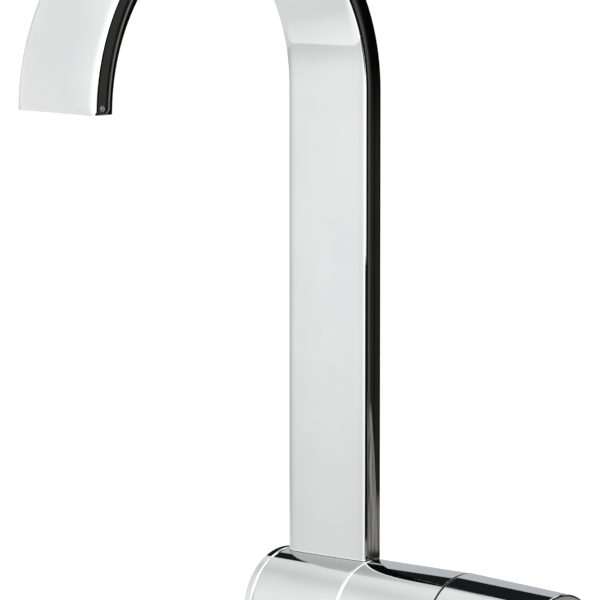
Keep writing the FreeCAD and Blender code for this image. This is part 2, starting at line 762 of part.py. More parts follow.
def base_ring():
    """Polished ring that covers the flange and carries the pedestal."""
    ring = turned_z([(post_radius + slide_gap, flange_bottom), (base_ring_radius, flange_bottom),
                     (base_ring_radius, base_ring_height - base_ring_edge_height),
                     (base_ring_top_radius, base_ring_height),
                     (post_radius + slide_gap, base_ring_height)])
    ring = chamfer_edges(ring, seam_chamfer,
                         lambda e: is_circle_at_z(e, base_ring_height, base_ring_top_radius))
    return ring.cut(rod_z(base_flange_radius + running_gap, flange_bottom - overshoot, flange_top))


def glide_washer():
    return tube_z(pedestal_radius - glide_washer_inset, post_radius + slide_gap, base_ring_height,
                  base_ring_height + glide_washer_thickness)


def swivel_bush(z0):
    return tube_z(bush_outer, post_radius + running_gap / 2, z0, z0 + bush_length)


def lower_bush():
    return swivel_bush(pedestal_bottom + seam_chamfer)


def upper_bush():
    return swivel_bush(post_top - bush_length - bush_inset)


def stop_screw():
    """Dog-point screw at the back of the pedestal. It holds the tap down and limits the swivel."""
    tip_length = post_radius - groove_inner + bush_wall - slide_gap
    screw_length = pedestal_radius - groove_inner - slide_gap - stop_screw_recess
    screw = grub_screw(stop_screw_radius, screw_length, grub_socket_radius, stop_tip_radius, tip_length)
    screw.rotate(V(0, 0, 0), X_DIR, -90)
    screw.translate(V(0, groove_inner + slide_gap, stop_screw_height))
    return screw


def clamp_rubber():
    return tube_z(clamp_radius, shank_radius + slide_gap, clamp_washer_top, clamp_top)


def clamp_washer():
    return tube_z(clamp_radius, shank_radius + slide_gap, back_nut_top, clamp_washer_top)


def back_nut():
    """Large hexagon nut on the shank, with its corners chamfered."""
    nut = hexagon_z(back_nut_across_flats, back_nut_bottom, back_nut_top)
    corner = back_nut_across_flats / math.sqrt(3)
    flat = back_nut_across_flats / 2
    rise = (corner - flat) * back_nut_corner_slope
    envelope = turned_z([(0, back_nut_bottom), (flat, back_nut_bottom), (corner, back_nut_bottom + rise),
                         (corner, back_nut_top - rise), (flat, back_nut_top), (0, back_nut_top)])
    hole = rod_z(shank_radius + seat_gap, back_nut_bottom - overshoot, back_nut_top + overshoot)
    return nut.common(envelope).cut(hole)


NODES = {
    "base_post": base_post,
    "base_flange": base_flange,
    "base_ring": base_ring,
    "base_gasket": base_gasket,
    "glide_washer": glide_washer,
    "clamp_rubber": clamp_rubber,
    "clamp_washer": clamp_washer,
    "back_nut": back_nut,
    "body": body,
    "lower_bush": lower_bush,
    "upper_bush": upper_bush,
    "stop_screw": stop_screw,
    "end_cap": end_cap,
    "end_cap_oring": end_cap_oring,
    "spout": spout,
    "spout_foot": spout_foot,
    "foot_seals": foot_seals,
    "spout_lock_screw": spout_lock_screw,
    "outlet_insert": outlet_insert,
    "outlet_screen": outlet_screen,
    "outlet_screw": outlet_screw,
    "cartridge_base": cartridge_base,
    "port_seals": port_seals,
    "cartridge_shell": cartridge_shell,
    "fixed_disc": fixed_disc,
    "moving_disc": moving_disc,
    "spindle": spindle,
    "thrust_washer": thrust_washer,
    "spindle_oring": spindle_oring,
    "stop_ring": stop_ring,
    "cartridge_nut": cartridge_nut,
    "sleeve": sleeve,
    "glide_bush": glide_bush,
    "handle": handle,
    "handle_screw": handle_screw,
    "handle_plug": handle_plug,
}


def main():
    os.makedirs("parts", exist_ok=True)
    for name, make in NODES.items():
        made = make()
        shape = Part.makeCompound(made) if isinstance(made, list) else made
        solids = shape.Solids
        if not solids or not all(s.isValid() and s.isClosed() for s in solids):
            raise ValueError(name + " isn't made of closed solids")
        shape.exportStep(os.path.join("parts", name + ".step"))
        print(name, len(solids), "solids", round(sum(s.Volume for s in solids), 1), "mm3")


main()
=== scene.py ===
import json
import math

import bmesh
import bpy
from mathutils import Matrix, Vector


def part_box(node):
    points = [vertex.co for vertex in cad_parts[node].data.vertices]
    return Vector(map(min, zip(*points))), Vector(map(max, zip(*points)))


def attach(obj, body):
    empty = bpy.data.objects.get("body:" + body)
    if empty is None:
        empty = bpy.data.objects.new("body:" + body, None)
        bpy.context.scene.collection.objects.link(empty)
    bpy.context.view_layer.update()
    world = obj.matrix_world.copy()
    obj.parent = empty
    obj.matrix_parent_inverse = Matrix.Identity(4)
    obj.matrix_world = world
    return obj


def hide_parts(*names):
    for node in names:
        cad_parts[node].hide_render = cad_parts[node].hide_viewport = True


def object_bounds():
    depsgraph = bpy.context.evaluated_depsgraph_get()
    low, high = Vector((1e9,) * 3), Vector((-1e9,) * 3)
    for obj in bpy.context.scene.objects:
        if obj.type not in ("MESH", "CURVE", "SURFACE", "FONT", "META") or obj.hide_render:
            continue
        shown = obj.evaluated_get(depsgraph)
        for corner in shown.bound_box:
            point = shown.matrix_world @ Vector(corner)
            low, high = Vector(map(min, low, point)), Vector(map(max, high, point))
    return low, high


# Dresses the tap: finer meshes for its polished covers and its shank, a material for each slot,
# and a studio like the photograph's

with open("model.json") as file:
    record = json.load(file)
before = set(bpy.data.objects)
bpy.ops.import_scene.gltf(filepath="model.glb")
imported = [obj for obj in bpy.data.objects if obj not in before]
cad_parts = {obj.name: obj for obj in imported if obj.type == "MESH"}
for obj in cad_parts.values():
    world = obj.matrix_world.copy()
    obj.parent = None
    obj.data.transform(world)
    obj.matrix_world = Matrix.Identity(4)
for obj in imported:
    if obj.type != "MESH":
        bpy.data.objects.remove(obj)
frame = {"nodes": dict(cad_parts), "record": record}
cad_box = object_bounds()

MM = 0.001

# Camera, from the photograph's perspective. Lengths are in metres and angles in degrees
CAMERA_AZIMUTH = 42.474
CAMERA_ELEVATION = 7.0
CAMERA_DISTANCE = 2.1076
CAMERA_LENS_MM = 308.9
CAMERA_SENSOR_MM = 36.0
CAMERA_CLIP_END = 100.0
CAMERA_TARGET = Vector((-0.0191, 0.0, 0.18545))


def spherical(azimuth, elevation):
    """A unit vector. The azimuth is counted from +X towards +Y."""
    a, e = math.radians(azimuth), math.radians(elevation)
    return Vector((math.cos(e) * math.cos(a), math.cos(e) * math.sin(a), math.sin(e)))


CAMERA_DIRECTION = spherical(CAMERA_AZIMUTH - 90, CAMERA_ELEVATION)
CAMERA_PLACE = CAMERA_TARGET + CAMERA_DIRECTION * CAMERA_DISTANCE

# Gaps between pieces that sit still on each other, and between pieces that turn
SEAT_GAP = 0.05 * MM
RUNNING_GAP = 0.1 * MM

# The tap's own sizes and places, from the frame
SLEEVE_LOW, SLEEVE_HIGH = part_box("sleeve")
CAP_LOW, CAP_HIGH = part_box("end_cap")
SPOUT_LOW, SPOUT_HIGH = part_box("spout")
BODY_LOW, BODY_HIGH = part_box("body")
GLIDE_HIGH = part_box("glide_bush")[1]
HANDLE_LOW, HANDLE_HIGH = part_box("handle")
SPINDLE_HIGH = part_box("spindle")[1]
BODY_RADIUS = SLEEVE_HIGH[1]
AXIS_Z = (SLEEVE_LOW[2] + SLEEVE_HIGH[2]) / 2
SEAM_LEFT = BODY_LOW[0]
SEAM_RIGHT = SLEEVE_LOW[0] - SEAT_GAP
HANDLE_LEFT = GLIDE_HIGH[0] + RUNNING_GAP
SPOUT_HALF_WIDTH = SPOUT_HIGH[0]
SPOUT_HALF_THICKNESS = SPOUT_HIGH[1]
BEND_RADIUS = (SPOUT_HIGH[1] - SPOUT_LOW[1]) / 2 - SPOUT_HALF_THICKNESS
SPRING_Z = SPOUT_HIGH[2] - BEND_RADIUS - SPOUT_HALF_THICKNESS


# Meshes

MERGE_DISTANCE = 1e-7
ARC_STEPS = 8
TURNED_COLUMNS = 160
SMALL_HOLE_COLUMNS = 40
LARGE_HOLE_COLUMNS = 48


def mesh_object(name, vertices, faces):
    """A new piece with one mesh, linked to the scene."""
    mesh = bpy.data.meshes.new(name)
    mesh.from_pydata([tuple(v) for v in vertices], [], faces)
    mesh.validate()
    mesh.update()
    for face in mesh.polygons:
        face.use_smooth = True
    piece = bpy.data.objects.new(name, mesh)
    bpy.context.scene.collection.objects.link(piece)
    return piece


def grid_faces(rows, columns, close_rows=False, close_columns=False):
    """Quads between the points of a grid that is stored row by row."""
    faces = []
    for i in range(rows if close_rows else rows - 1):
        for j in range(columns if close_columns else columns - 1):
            a, b = i * columns, (i + 1) % rows * columns
            k = (j + 1) % columns
            faces.append((a + j, a + k, b + k, b + j))
    return faces


def clean_up(piece, sharp_angle):
    """Merges the points that fall together, turns the faces outwards and marks the sharp edges."""
    bm = bmesh.new()
    bm.from_mesh(piece.data)
    bmesh.ops.remove_doubles(bm, verts=bm.verts, dist=MERGE_DISTANCE)
    bmesh.ops.dissolve_degenerate(bm, edges=bm.edges, dist=MERGE_DISTANCE)
    bmesh.ops.recalc_face_normals(bm, faces=bm.faces)
    for face in bm.faces:
        face.smooth = True
    bm.to_mesh(piece.data)
    bm.free()
    piece.data.set_sharp_from_angle(angle=math.radians(sharp_angle))


def stand_in(piece, node, body, slot):
    """Puts a finer mesh in the place of a CAD node, on the same body and in the same finish."""
    piece.data.materials.clear()
    piece.data.materials.append(MATERIALS[slot])
    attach(piece, body)
    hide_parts(node)


def arc(x, radius_at, radius, start, end):
    """Points of a rounded corner in a turned outline, between two angles in degrees."""
    points = []
    for k in range(ARC_STEPS + 1):
        a = math.radians(start + (end - start) * k / ARC_STEPS)
        points.append((x + radius * math.cos(a), radius_at + radius * math.sin(a)))
    return points


def turned(name, outline):
    """A closed outline of (x, radius) points turned about the body's axis."""
    vertices = []
    for x, radius in outline:
        for j in range(TURNED_COLUMNS):
            a = 2 * math.pi * j / TURNED_COLUMNS
            vertices.append((x, radius * math.cos(a), AXIS_Z + radius * math.sin(a)))
    faces = grid_faces(len(outline), TURNED_COLUMNS, close_rows=True, close_columns=True)
    return mesh_object(name, vertices, faces)


def rod_between(start, end, radius, columns):
    """A closed round rod, used to cut holes."""
    start, end = Vector(start), Vector(end)
    along = (end - start).normalized()
    side = along.orthogonal().normalized()
    other = along.cross(side)
    vertices = []
    for centre in (start, end):
        for j in range(columns):
            a = 2 * math.pi * j / columns
            vertices.append(centre + (side * math.cos(a) + other * math.sin(a)) * radius)
    faces = grid_faces(2, columns, close_columns=True)
    faces += [tuple(reversed(range(columns))), tuple(range(columns, 2 * columns))]
    return mesh_object("cutter", vertices, faces)


def block_between(low, high):
    """A closed box, used to cut a square hole."""
    xs, ys, zs = zip(low, high)
    corners = [(x, y, z) for z in zs for y in ys for x in xs]
    faces = [(0, 2, 3, 1), (4, 5, 7, 6), (0, 1, 5, 4), (2, 6, 7, 3), (0, 4, 6, 2), (1, 3, 7, 5)]
    return mesh_object("cutter", corners, faces)


def face_outwards(mesh):
    """Turns the faces of a closed mesh outwards."""
    bm = bmesh.new()
    bm.from_mesh(mesh)
    bmesh.ops.recalc_face_normals(bm, faces=bm.faces)
    bm.to_mesh(mesh)
    bm.free()


def cut(piece, cutters):
    """Takes the cutters out of the piece for good."""
    for cutter in cutters:
        face_outwards(cutter.data)
        step = piece.modifiers.new("hole", "BOOLEAN")
        step.operation = "DIFFERENCE"
        step.solver = "EXACT"
        step.object = cutter
    bpy.context.view_layer.update()
    evaluated = piece.evaluated_get(bpy.context.evaluated_depsgraph_get())
    result = bpy.data.meshes.new_from_object(evaluated)
    piece.modifiers.clear()
    piece.data = result
    for cutter in cutters:
        bpy.data.objects.remove(cutter)


# Materials

# Most of the noise lies in this range
NOISE_LOW, NOISE_HIGH = 0.35, 0.65

CHROME_DARK, CHROME_LIGHT = (0.540, 0.544, 0.548), (0.562, 0.564, 0.566)
CHROME_HAZE_LEAST, CHROME_HAZE_MOST = 0.02, 0.05
CHROME_WAVES = 0.004 * MM
LATHE_MARKS = 0.01 * MM
# How far the roughness rises above its least value
METAL_SPREAD = 1.5
MOULDED_SPREAD = 1.25


def grey(tone):
    """A plain grey as a colour."""
    return (tone, tone, tone)


def new_material(name):
    """A new material with its node tree and its shader."""
    material = bpy.data.materials.new(name)
    material.use_nodes = True
    tree = material.node_tree
    return material, tree, tree.nodes["Principled BSDF"]


def noise(tree, scale, detail=2.0, stretch=(1, 1, 1)):
    """Noise that is fixed to the piece, in its own coordinates."""
    place = tree.nodes.new("ShaderNodeTexCoord")
    mapping = tree.nodes.new("ShaderNodeMapping")
    mapping.inputs["Scale"].default_value = stretch
    texture = tree.nodes.new("ShaderNodeTexNoise")
    texture.inputs["Scale"].default_value = scale
    texture.inputs["Detail"].default_value = detail
    tree.links.new(place.outputs["Object"], mapping.inputs["Vector"])
    tree.links.new(mapping.outputs["Vector"], texture.inputs["Vector"])
    return texture.outputs["Fac"]


def ramp(tree, source, low, high, from_low=NOISE_LOW, from_high=NOISE_HIGH):
    """Maps a range of the source to two values or two colours, with a plain end on either side."""
    if isinstance(low, tuple):
        return colour_stops(tree, source, [(from_low, low), (from_high, high)])
    node = tree.nodes.new("ShaderNodeMapRange")
    node.inputs["From Min"].default_value = from_low
    node.inputs["From Max"].default_value = from_high
    node.inputs["To Min"].default_value = low
    node.inputs["To Max"].default_value = high
    tree.links.new(source, node.inputs["Value"])
    return node.outputs["Result"]


def colour_stops(tree, source, stops, soft="LINEAR"):
    """A colour ramp with (position, colour) stops between 0 and 1."""
    node = tree.nodes.new("ShaderNodeValToRGB")
    elements = node.color_ramp.elements
    node.color_ramp.interpolation = soft
    while len(elements) < len(stops):
        elements.new(0.5)
    for element, (position, colour) in zip(elements, stops):
        element.position = position
        element.color = tuple(colour) + (1,)
    tree.links.new(source, node.inputs["Fac"])
    return node.outputs["Color"]


def add_bump(tree, shader, source, height):
    """Relief on the surface, with its height in metres."""
    bump = tree.nodes.new("ShaderNodeBump")
    bump.inputs["Strength"].default_value = 1.0
    bump.inputs["Distance"].default_value = height
    tree.links.new(source, bump.inputs["Height"])
    tree.links.new(bump.outputs["Normal"], shader.inputs["Normal"])


def chrome():
    """Polished plate: a faint unevenness under it, and a little haze that comes and goes."""
    material, tree, shader = new_material("polished_chrome")
    shader.inputs["Metallic"].default_value = 1.0
    tint = ramp(tree, noise(tree, scale=35.0), CHROME_DARK, CHROME_LIGHT)
    tree.links.new(tint, shader.inputs["Base Color"])
    haze = ramp(tree, noise(tree, scale=60.0, detail=4.0), CHROME_HAZE_LEAST, CHROME_HAZE_MOST)
    tree.links.new(haze, shader.inputs["Roughness"])
    add_bump(tree, shader, noise(tree, scale=45.0, detail=1.0), CHROME_WAVES)
    return material


def turned_metal(name, dark, light, roughness):
    """Bare metal with fine lathe marks round the swivel axis."""
    material, tree, shader = new_material(name)
    shader.inputs["Metallic"].default_value = 1.0
    grain = noise(tree, scale=30.0, detail=3.0, stretch=(1, 1, 60))
    tree.links.new(ramp(tree, grain, dark, light), shader.inputs["Base Color"])
    haze = ramp(tree, grain, roughness, roughness * METAL_SPREAD)
    tree.links.new(haze, shader.inputs["Roughness"])
    add_bump(tree, shader, grain, LATHE_MARKS)
    return material


def moulded(name, dark, light, roughness, grain_scale, grain_height):
    """Rubber, plastic or ceramic: a slight variation of colour and a fine grain."""
    material, tree, shader = new_material(name)
    tint = ramp(tree, noise(tree, scale=90.0, detail=3.0), dark, light)
    tree.links.new(tint, shader.inputs["Base Color"])
    grain = noise(tree, grain_scale, detail=2.0)
    haze = ramp(tree, grain, roughness, roughness * MOULDED_SPREAD)
    tree.links.new(haze, shader.inputs["Roughness"])
    add_bump(tree, shader, grain, grain_height)
    return material


# By slot. A metal has its darkest and lightest colour and its least roughness, and what is moulded
# has the scale and the height of its grain as well
MATERIALS = {
    "chrome": chrome(),
    "brass": turned_metal("turned_brass", (0.50, 0.34, 0.13), (0.66, 0.48, 0.22), 0.22),
    "steel": turned_metal("stainless", (0.42, 0.42, 0.43), (0.60, 0.60, 0.61), 0.2),
    "rubber": moulded("black_rubber", grey(0.012), grey(0.022), 0.6, 2500.0, 0.04 * MM),
    "black_plastic": moulded("black_plastic", (0.008, 0.008, 0.009), (0.016, 0.016, 0.017),
                             0.35, 3000.0, 0.02 * MM),
    "white_plastic": moulded("white_plastic", (0.72, 0.72, 0.70), (0.80, 0.80, 0.78),
                             0.4, 3000.0, 0.02 * MM),
    "ceramic": moulded("lapped_ceramic", (0.82, 0.80, 0.76), (0.90, 0.88, 0.84),
                       0.15, 4000.0, 0.01 * MM),
}


def dress_frame():
    """Gives each CAD node the material of its slot."""
    slots = {part["node"]: part["material_slot"] for part in frame["record"]["subparts"]}
    for node, piece in frame["nodes"].items():
        piece.data.materials.clear()
        piece.data.materials.append(MATERIALS[slots[node]])


# The spout

SPOUT_WALL = 1.5 * MM
SPOUT_CORNER = 0.5 * MM
SPOUT_CORNER_STEPS = 9
SPOUT_FACE_STEPS = 24
SPOUT_SIDE_STEPS = 4
SPOUT_EDGE_SLOPE = 8.0
SPOUT_CROWN_SLOPE = 0.9
SPOUT_EDGE_BAND = 4.0 * MM
SPOUT_SIDE_SLOPE = 2.0
SPOUT_BEND_STEPS = 120
SPOUT_COLUMN_STEPS = 12
SPOUT_BORE_STRIDE = 4
SPOUT_SHARP_ANGLE = 30
MOUTH_ROUNDING = 0.3 * MM
MOUTH_STEPS = 3
FOOT_ROUNDING = 0.15 * MM
FOOT_STEPS = 4
# The height over the foot of a row that keeps the shine above it straight
FOOT_SUPPORT = 0.7 * MM


def face_slope(x):
    """How far the polished face has turned at x, in degrees. It rolls off near the edge."""
    corner_x = SPOUT_HALF_WIDTH - SPOUT_CORNER
    near = max(0.0, (x - corner_x + SPOUT_EDGE_BAND) / SPOUT_EDGE_BAND)
    return SPOUT_CROWN_SLOPE * x / corner_x + (SPOUT_EDGE_SLOPE - SPOUT_CROWN_SLOPE) * near ** 2


def spout_quarter():
    """A quarter of the outline: (x, n) points from the side's middle to the face's."""
    slope = math.radians(SPOUT_EDGE_SLOPE)
    side_slope = math.radians(SPOUT_SIDE_SLOPE)
    # the face, from its middle outwards
    face = [(0.0, SPOUT_HALF_THICKNESS)]
    corner_x = SPOUT_HALF_WIDTH - SPOUT_CORNER + SPOUT_CORNER * math.sin(slope)
    for k in range(1, SPOUT_FACE_STEPS + 1):
        x = corner_x * k / SPOUT_FACE_STEPS
        last_x, last_n = face[-1]
        turn = math.radians(face_slope((x + last_x) / 2))
        face.append((x, last_n - (x - last_x) * math.tan(turn)))
    # the corner, which leaves the face without a crease
    centre_x = corner_x - SPOUT_CORNER * math.sin(slope)
    centre_n = face[-1][1] - SPOUT_CORNER * math.cos(slope)
    corner = []
    for k in range(1, SPOUT_CORNER_STEPS + 1):
        a = slope + (math.pi / 2 - side_slope - slope) * k / SPOUT_CORNER_STEPS
        across, through = SPOUT_CORNER * math.sin(a), SPOUT_CORNER * math.cos(a)
        corner.append((centre_x + across, centre_n + through))
    # the side, very slightly round
    side = []
    end_x, end_n = corner[-1]
    for k in range(SPOUT_SIDE_STEPS - 1, -1, -1):
        share = k / SPOUT_SIDE_STEPS
        bulge = (1 - share * share) * end_n * math.tan(side_slope) / 2
        side.append((end_x + bulge, end_n * share))
    return (face + corner + side)[::-1]


def spout_outline():
    """The whole outline, closed: +X side, +n face, -X side, -n face."""
    quarter = spout_quarter()
    half = quarter + [(-x, n) for x, n in quarter[-2::-1]]
    return half + [(x, -n) for x, n in half[-2:0:-1]]


def spout_station(x, n, turn):
    """A point of the outline carried round the bend by an angle in radians."""
    radius = BEND_RADIUS + n
    return (x, -BEND_RADIUS + radius * math.cos(turn), SPRING_Z + radius * math.sin(turn))


def shrunk(outline, inset):
    """The outline drawn in by an inset on each of its four sides."""
    across = 1 - inset / SPOUT_HALF_WIDTH
    through = 1 - inset / SPOUT_HALF_THICKNESS
    return [(x * across, n * through) for x, n in outline]


def inner_outline(outline):
    """The tube's bore: each outer point drawn in to the nearest point of a plain rectangle."""
    half_x = SPOUT_HALF_WIDTH - SPOUT_WALL
    half_n = SPOUT_HALF_THICKNESS - SPOUT_WALL
    return [(max(-half_x, min(half_x, x)), max(-half_n, min(half_n, n))) for x, n in outline]


def foot_height(n):
    """Where the tube meets the round body, with the seat's gap."""
    return AXIS_Z + math.sqrt((BODY_RADIUS + SEAT_GAP) ** 2 - n ** 2)


def foot_rows(outer):
    """The rounded edge on the round body, and a row above it that keeps the shine straight."""
    rows = []
    for k in range(FOOT_STEPS + 1):
        a = math.radians(90 * k / FOOT_STEPS)
        lift = FOOT_ROUNDING * (1 - math.cos(a))
        ring = shrunk(outer, FOOT_ROUNDING * (1 - math.sin(a)))
        rows.append([(x, n, foot_height(n) + lift) for x, n in ring])
    rows.append([(x, n, foot_height(n) + FOOT_SUPPORT) for x, n in outer])
    return rows


def mouth_rows(outer, end_turn):
    """The rounded edge of the outlet, from the end of the bend to its inner edge."""
    rows = []
    for k in range(1, MOUTH_STEPS + 1):
        a = math.radians(90 * k / MOUTH_STEPS)
        turn = end_turn + MOUTH_ROUNDING * math.sin(a) / BEND_RADIUS
        ring = shrunk(outer, MOUTH_ROUNDING * (1 - math.cos(a)))
        rows.append([spout_station(x, n, turn) for x, n in ring])
    return rows


def spout_rows():
    """The tube's rows of points: up the column, round the bend and back through the bore."""
    outer = spout_outline()
    inner = inner_outline(outer)
    rows = foot_rows(outer)
    for k in range(1, SPOUT_COLUMN_STEPS):
        share = k / SPOUT_COLUMN_STEPS
        rows.append([(x, n, foot_height(n) * (1 - share) + SPRING_Z * share) for x, n in outer])
    end_turn = math.pi - MOUTH_ROUNDING / BEND_RADIUS
    for k in range(SPOUT_BEND_STEPS + 1):
        rows.append([spout_station(x, n, end_turn * k / SPOUT_BEND_STEPS) for x, n in outer])
    rows += mouth_rows(outer, end_turn)
    for k in range(SPOUT_BEND_STEPS, -1, -SPOUT_BORE_STRIDE):
        rows.append([spout_station(x, n, math.pi * k / SPOUT_BEND_STEPS) for x, n in inner])
    rows.append([(x, n, foot_height(n)) for x, n in inner])
    return rows


def spout_tube():
    """The bent flat tube with its polished faces, bore and the hole for its side screw."""
    rows = spout_rows()
    vertices = [point for row in rows for point in row]
    faces = grid_faces(len(rows), len(rows[0]), close_rows=True, close_columns=True)
    piece = mesh_object("spout_tube", vertices, faces)
    clean_up(piece, SPOUT_SHARP_ANGLE)
    screw_low, screw_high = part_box("outlet_screw")
    screw_y = (screw_low[1] + screw_high[1]) / 2
    screw_z = (screw_low[2] + screw_high[2]) / 2
    radius = (screw_high[2] - screw_low[2]) / 2 + SEAT_GAP
    inside = (SPOUT_HALF_WIDTH - 2 * SPOUT_WALL, screw_y, screw_z)
    outside = (SPOUT_HALF_WIDTH + SPOUT_WALL, screw_y, screw_z)
    cut(piece, [rod_between(inside, outside, radius, SMALL_HOLE_COLUMNS)])
    clean_up(piece, SPOUT_SHARP_ANGLE)
    stand_in(piece, "spout", "swivel", "chrome")


# The turned covers

CAP_EDGE = 0.5 * MM
CAP_SEAM_EDGE = 0.9 * MM
BODY_SEAM_EDGE_LEFT = 0.8 * MM
BODY_SEAM_EDGE_RIGHT = 1.7 * MM
SLEEVE_EDGE_LEFT = 0.3 * MM
SLEEVE_EDGE_RIGHT = 0.05 * MM
HANDLE_EDGE_LEFT = 0.5 * MM
HANDLE_EDGE_RIGHT = 0.7 * MM
# The distance from a rounded edge to a point that keeps the shine beside it straight
SUPPORT = 0.25 * MM
TURNED_SHARP_ANGLE = 40

# Inner sizes, which no piece's box gives
SPIGOT_RADIUS = 16.9 * MM
SPIGOT_HOLLOW = 12.9 * MM
SPIGOT_GROOVE = 15.3 * MM
GROOVE_WIDTH = 2.2 * MM
CAP_WEB = 1.0 * MM
SLEEVE_BORE = 22.2 * MM
SLEEVE_WEB = 2.0 * MM
SLEEVE_WEB_BORE = 18.7 * MM


def straight(x0, x1, radius0, radius1):
    """A point close to each end of a plain stretch, which keep the shine on it straight."""
    slope = (radius1 - radius0) / (x1 - x0)
    return [(x, radius0 + slope * (x - x0)) for x in (x0 + SUPPORT, x1 - SUPPORT)]


def end_cap_turned():
    """The left cap, with the spigot that holds it in the body and the groove for its ring."""
    left, right = CAP_LOW[0], SEAM_LEFT - SEAT_GAP
    spigot_end = CAP_HIGH[0]
    groove_left = (SEAM_LEFT + spigot_end - GROOVE_WIDTH) / 2
    groove_right = groove_left + GROOVE_WIDTH
    hollow_end = SEAM_LEFT + CAP_WEB
    radius = BODY_RADIUS
    outline = [(left, 0.0), (left, radius - CAP_EDGE - SUPPORT)]
    outline += arc(left + CAP_EDGE, radius - CAP_EDGE, CAP_EDGE, 180, 90)
    outline += straight(left + CAP_EDGE, right - CAP_SEAM_EDGE, radius, radius)
    outline += arc(right - CAP_SEAM_EDGE, radius - CAP_SEAM_EDGE, CAP_SEAM_EDGE, 90, 0)
    outline += [(right, SPIGOT_RADIUS), (groove_left, SPIGOT_RADIUS), (groove_left, SPIGOT_GROOVE),
                (groove_right, SPIGOT_GROOVE), (groove_right, SPIGOT_RADIUS),
                (spigot_end, SPIGOT_RADIUS), (spigot_end, SPIGOT_HOLLOW),
                (hollow_end, SPIGOT_HOLLOW), (hollow_end, 0.0)]
    piece = turned("end_cap_turned", outline)
    clean_up(piece, TURNED_SHARP_ANGLE)
    stand_in(piece, "end_cap", "swivel", "chrome")


def sleeve_turned():
    """The plain sleeve over the cartridge, with the web that centres it."""
    left, right = SLEEVE_LOW[0], SLEEVE_HIGH[0]
    web_left, web_right = BODY_HIGH[0], BODY_HIGH[0] + SLEEVE_WEB
    radius = BODY_RADIUS
    outline = [(left, SLEEVE_BORE)]
    outline += arc(left + SLEEVE_EDGE_LEFT, radius - SLEEVE_EDGE_LEFT, SLEEVE_EDGE_LEFT, 180, 90)
    outline += straight(left + SLEEVE_EDGE_LEFT, right - SLEEVE_EDGE_RIGHT, radius, radius)
    outline += arc(right - SLEEVE_EDGE_RIGHT, radius - SLEEVE_EDGE_RIGHT, SLEEVE_EDGE_RIGHT, 90, 0)
    outline += [(right, SLEEVE_BORE), (web_right, SLEEVE_BORE), (web_right, SLEEVE_WEB_BORE),
                (web_left, SLEEVE_WEB_BORE), (web_left, SLEEVE_BORE)]
    piece = turned("sleeve_turned", outline)
    clean_up(piece, TURNED_SHARP_ANGLE)
    stand_in(piece, "sleeve", "swivel", "chrome")


HANDLE_END_RADIUS = 22.2 * MM
HANDLE_WALL = 2.2 * MM
HANDLE_FLOOR = 3.0 * MM
HANDLE_WEB = 3.0 * MM
HANDLE_WEB_INSET = 0.6 * MM
SKIRT_RADIUS = 20.1 * MM
SKIRT_BORE = 18.3 * MM
BOSS_RADIUS = 8.0 * MM
BOSS_GAP = 3.0 * MM
BOSS_FLOOR = 4.0 * MM
SOCKET_HALF = 3.85 * MM
SPINDLE_RADIUS = 5.0 * MM
OVERSHOOT = 1.0 * MM
HANDLE_FLOOR_X = HANDLE_HIGH[0] - HANDLE_FLOOR
BOSS_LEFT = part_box("cartridge_shell")[1][0] + BOSS_GAP


def handle_outline():
    """The tapered handle's outline, with its skirt, wall, floor and boss."""
    left, end = HANDLE_LEFT, HANDLE_HIGH[0]
    radius, end_radius = BODY_RADIUS, HANDLE_END_RADIUS
    taper = math.degrees(math.atan2(radius - end_radius, end - left))
    wall_left, wall_end = radius - HANDLE_WALL, end_radius - HANDLE_WALL
    web = left + HANDLE_WEB
    web_radius = wall_left + (wall_end - wall_left) * HANDLE_WEB / (HANDLE_FLOOR_X - left)
    cone_left, cone_end = left + HANDLE_EDGE_LEFT, end - HANDLE_EDGE_RIGHT
    outline = [(HANDLE_LOW[0], SKIRT_BORE), (HANDLE_LOW[0], SKIRT_RADIUS),
               (left + HANDLE_WEB_INSET, SKIRT_RADIUS), (left + HANDLE_WEB_INSET, wall_left),
               (left, wall_left)]
    outline += arc(cone_left, radius - HANDLE_EDGE_LEFT, HANDLE_EDGE_LEFT, 180, 90 - taper)
    outline += straight(cone_left, cone_end, radius, end_radius)
    outline += arc(cone_end, end_radius - HANDLE_EDGE_RIGHT, HANDLE_EDGE_RIGHT, 90 - taper, 0)
    outline += [(end, end_radius - HANDLE_EDGE_RIGHT - SUPPORT), (end, 0.0), (BOSS_LEFT, 0.0),
                (BOSS_LEFT, BOSS_RADIUS), (HANDLE_FLOOR_X, BOSS_RADIUS), (HANDLE_FLOOR_X, wall_end),
                (web, web_radius), (web, SKIRT_BORE)]
    return outline


def handle_cutters():
    """The square socket, the bore beyond it, the key's way in and the screw's thread."""
    spindle_end = SPINDLE_HIGH[0]
    bottom = AXIS_Z - BODY_RADIUS
    plug_low, plug_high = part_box("handle_plug")
    screw_low, screw_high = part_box("handle_screw")
    x = (plug_low[0] + plug_high[0]) / 2
    plug_radius = (plug_high[1] - plug_low[1]) / 2 + SEAT_GAP
    screw_radius = (screw_high[1] - screw_low[1]) / 2 + SEAT_GAP
    return [
        block_between((BOSS_LEFT - OVERSHOOT, -SOCKET_HALF, AXIS_Z - SOCKET_HALF),
                      (spindle_end + OVERSHOOT, SOCKET_HALF, AXIS_Z + SOCKET_HALF)),
        rod_between((spindle_end, 0, AXIS_Z), (HANDLE_FLOOR_X - BOSS_FLOOR, 0, AXIS_Z),
                    SPINDLE_RADIUS, LARGE_HOLE_COLUMNS),
        rod_between((x, 0, bottom - OVERSHOOT), (x, 0, bottom + 2 * HANDLE_WALL),
                    plug_radius, LARGE_HOLE_COLUMNS),
        rod_between((x, 0, AXIS_Z - BOSS_RADIUS - OVERSHOOT), (x, 0, AXIS_Z),
                    screw_radius, SMALL_HOLE_COLUMNS),
    ]


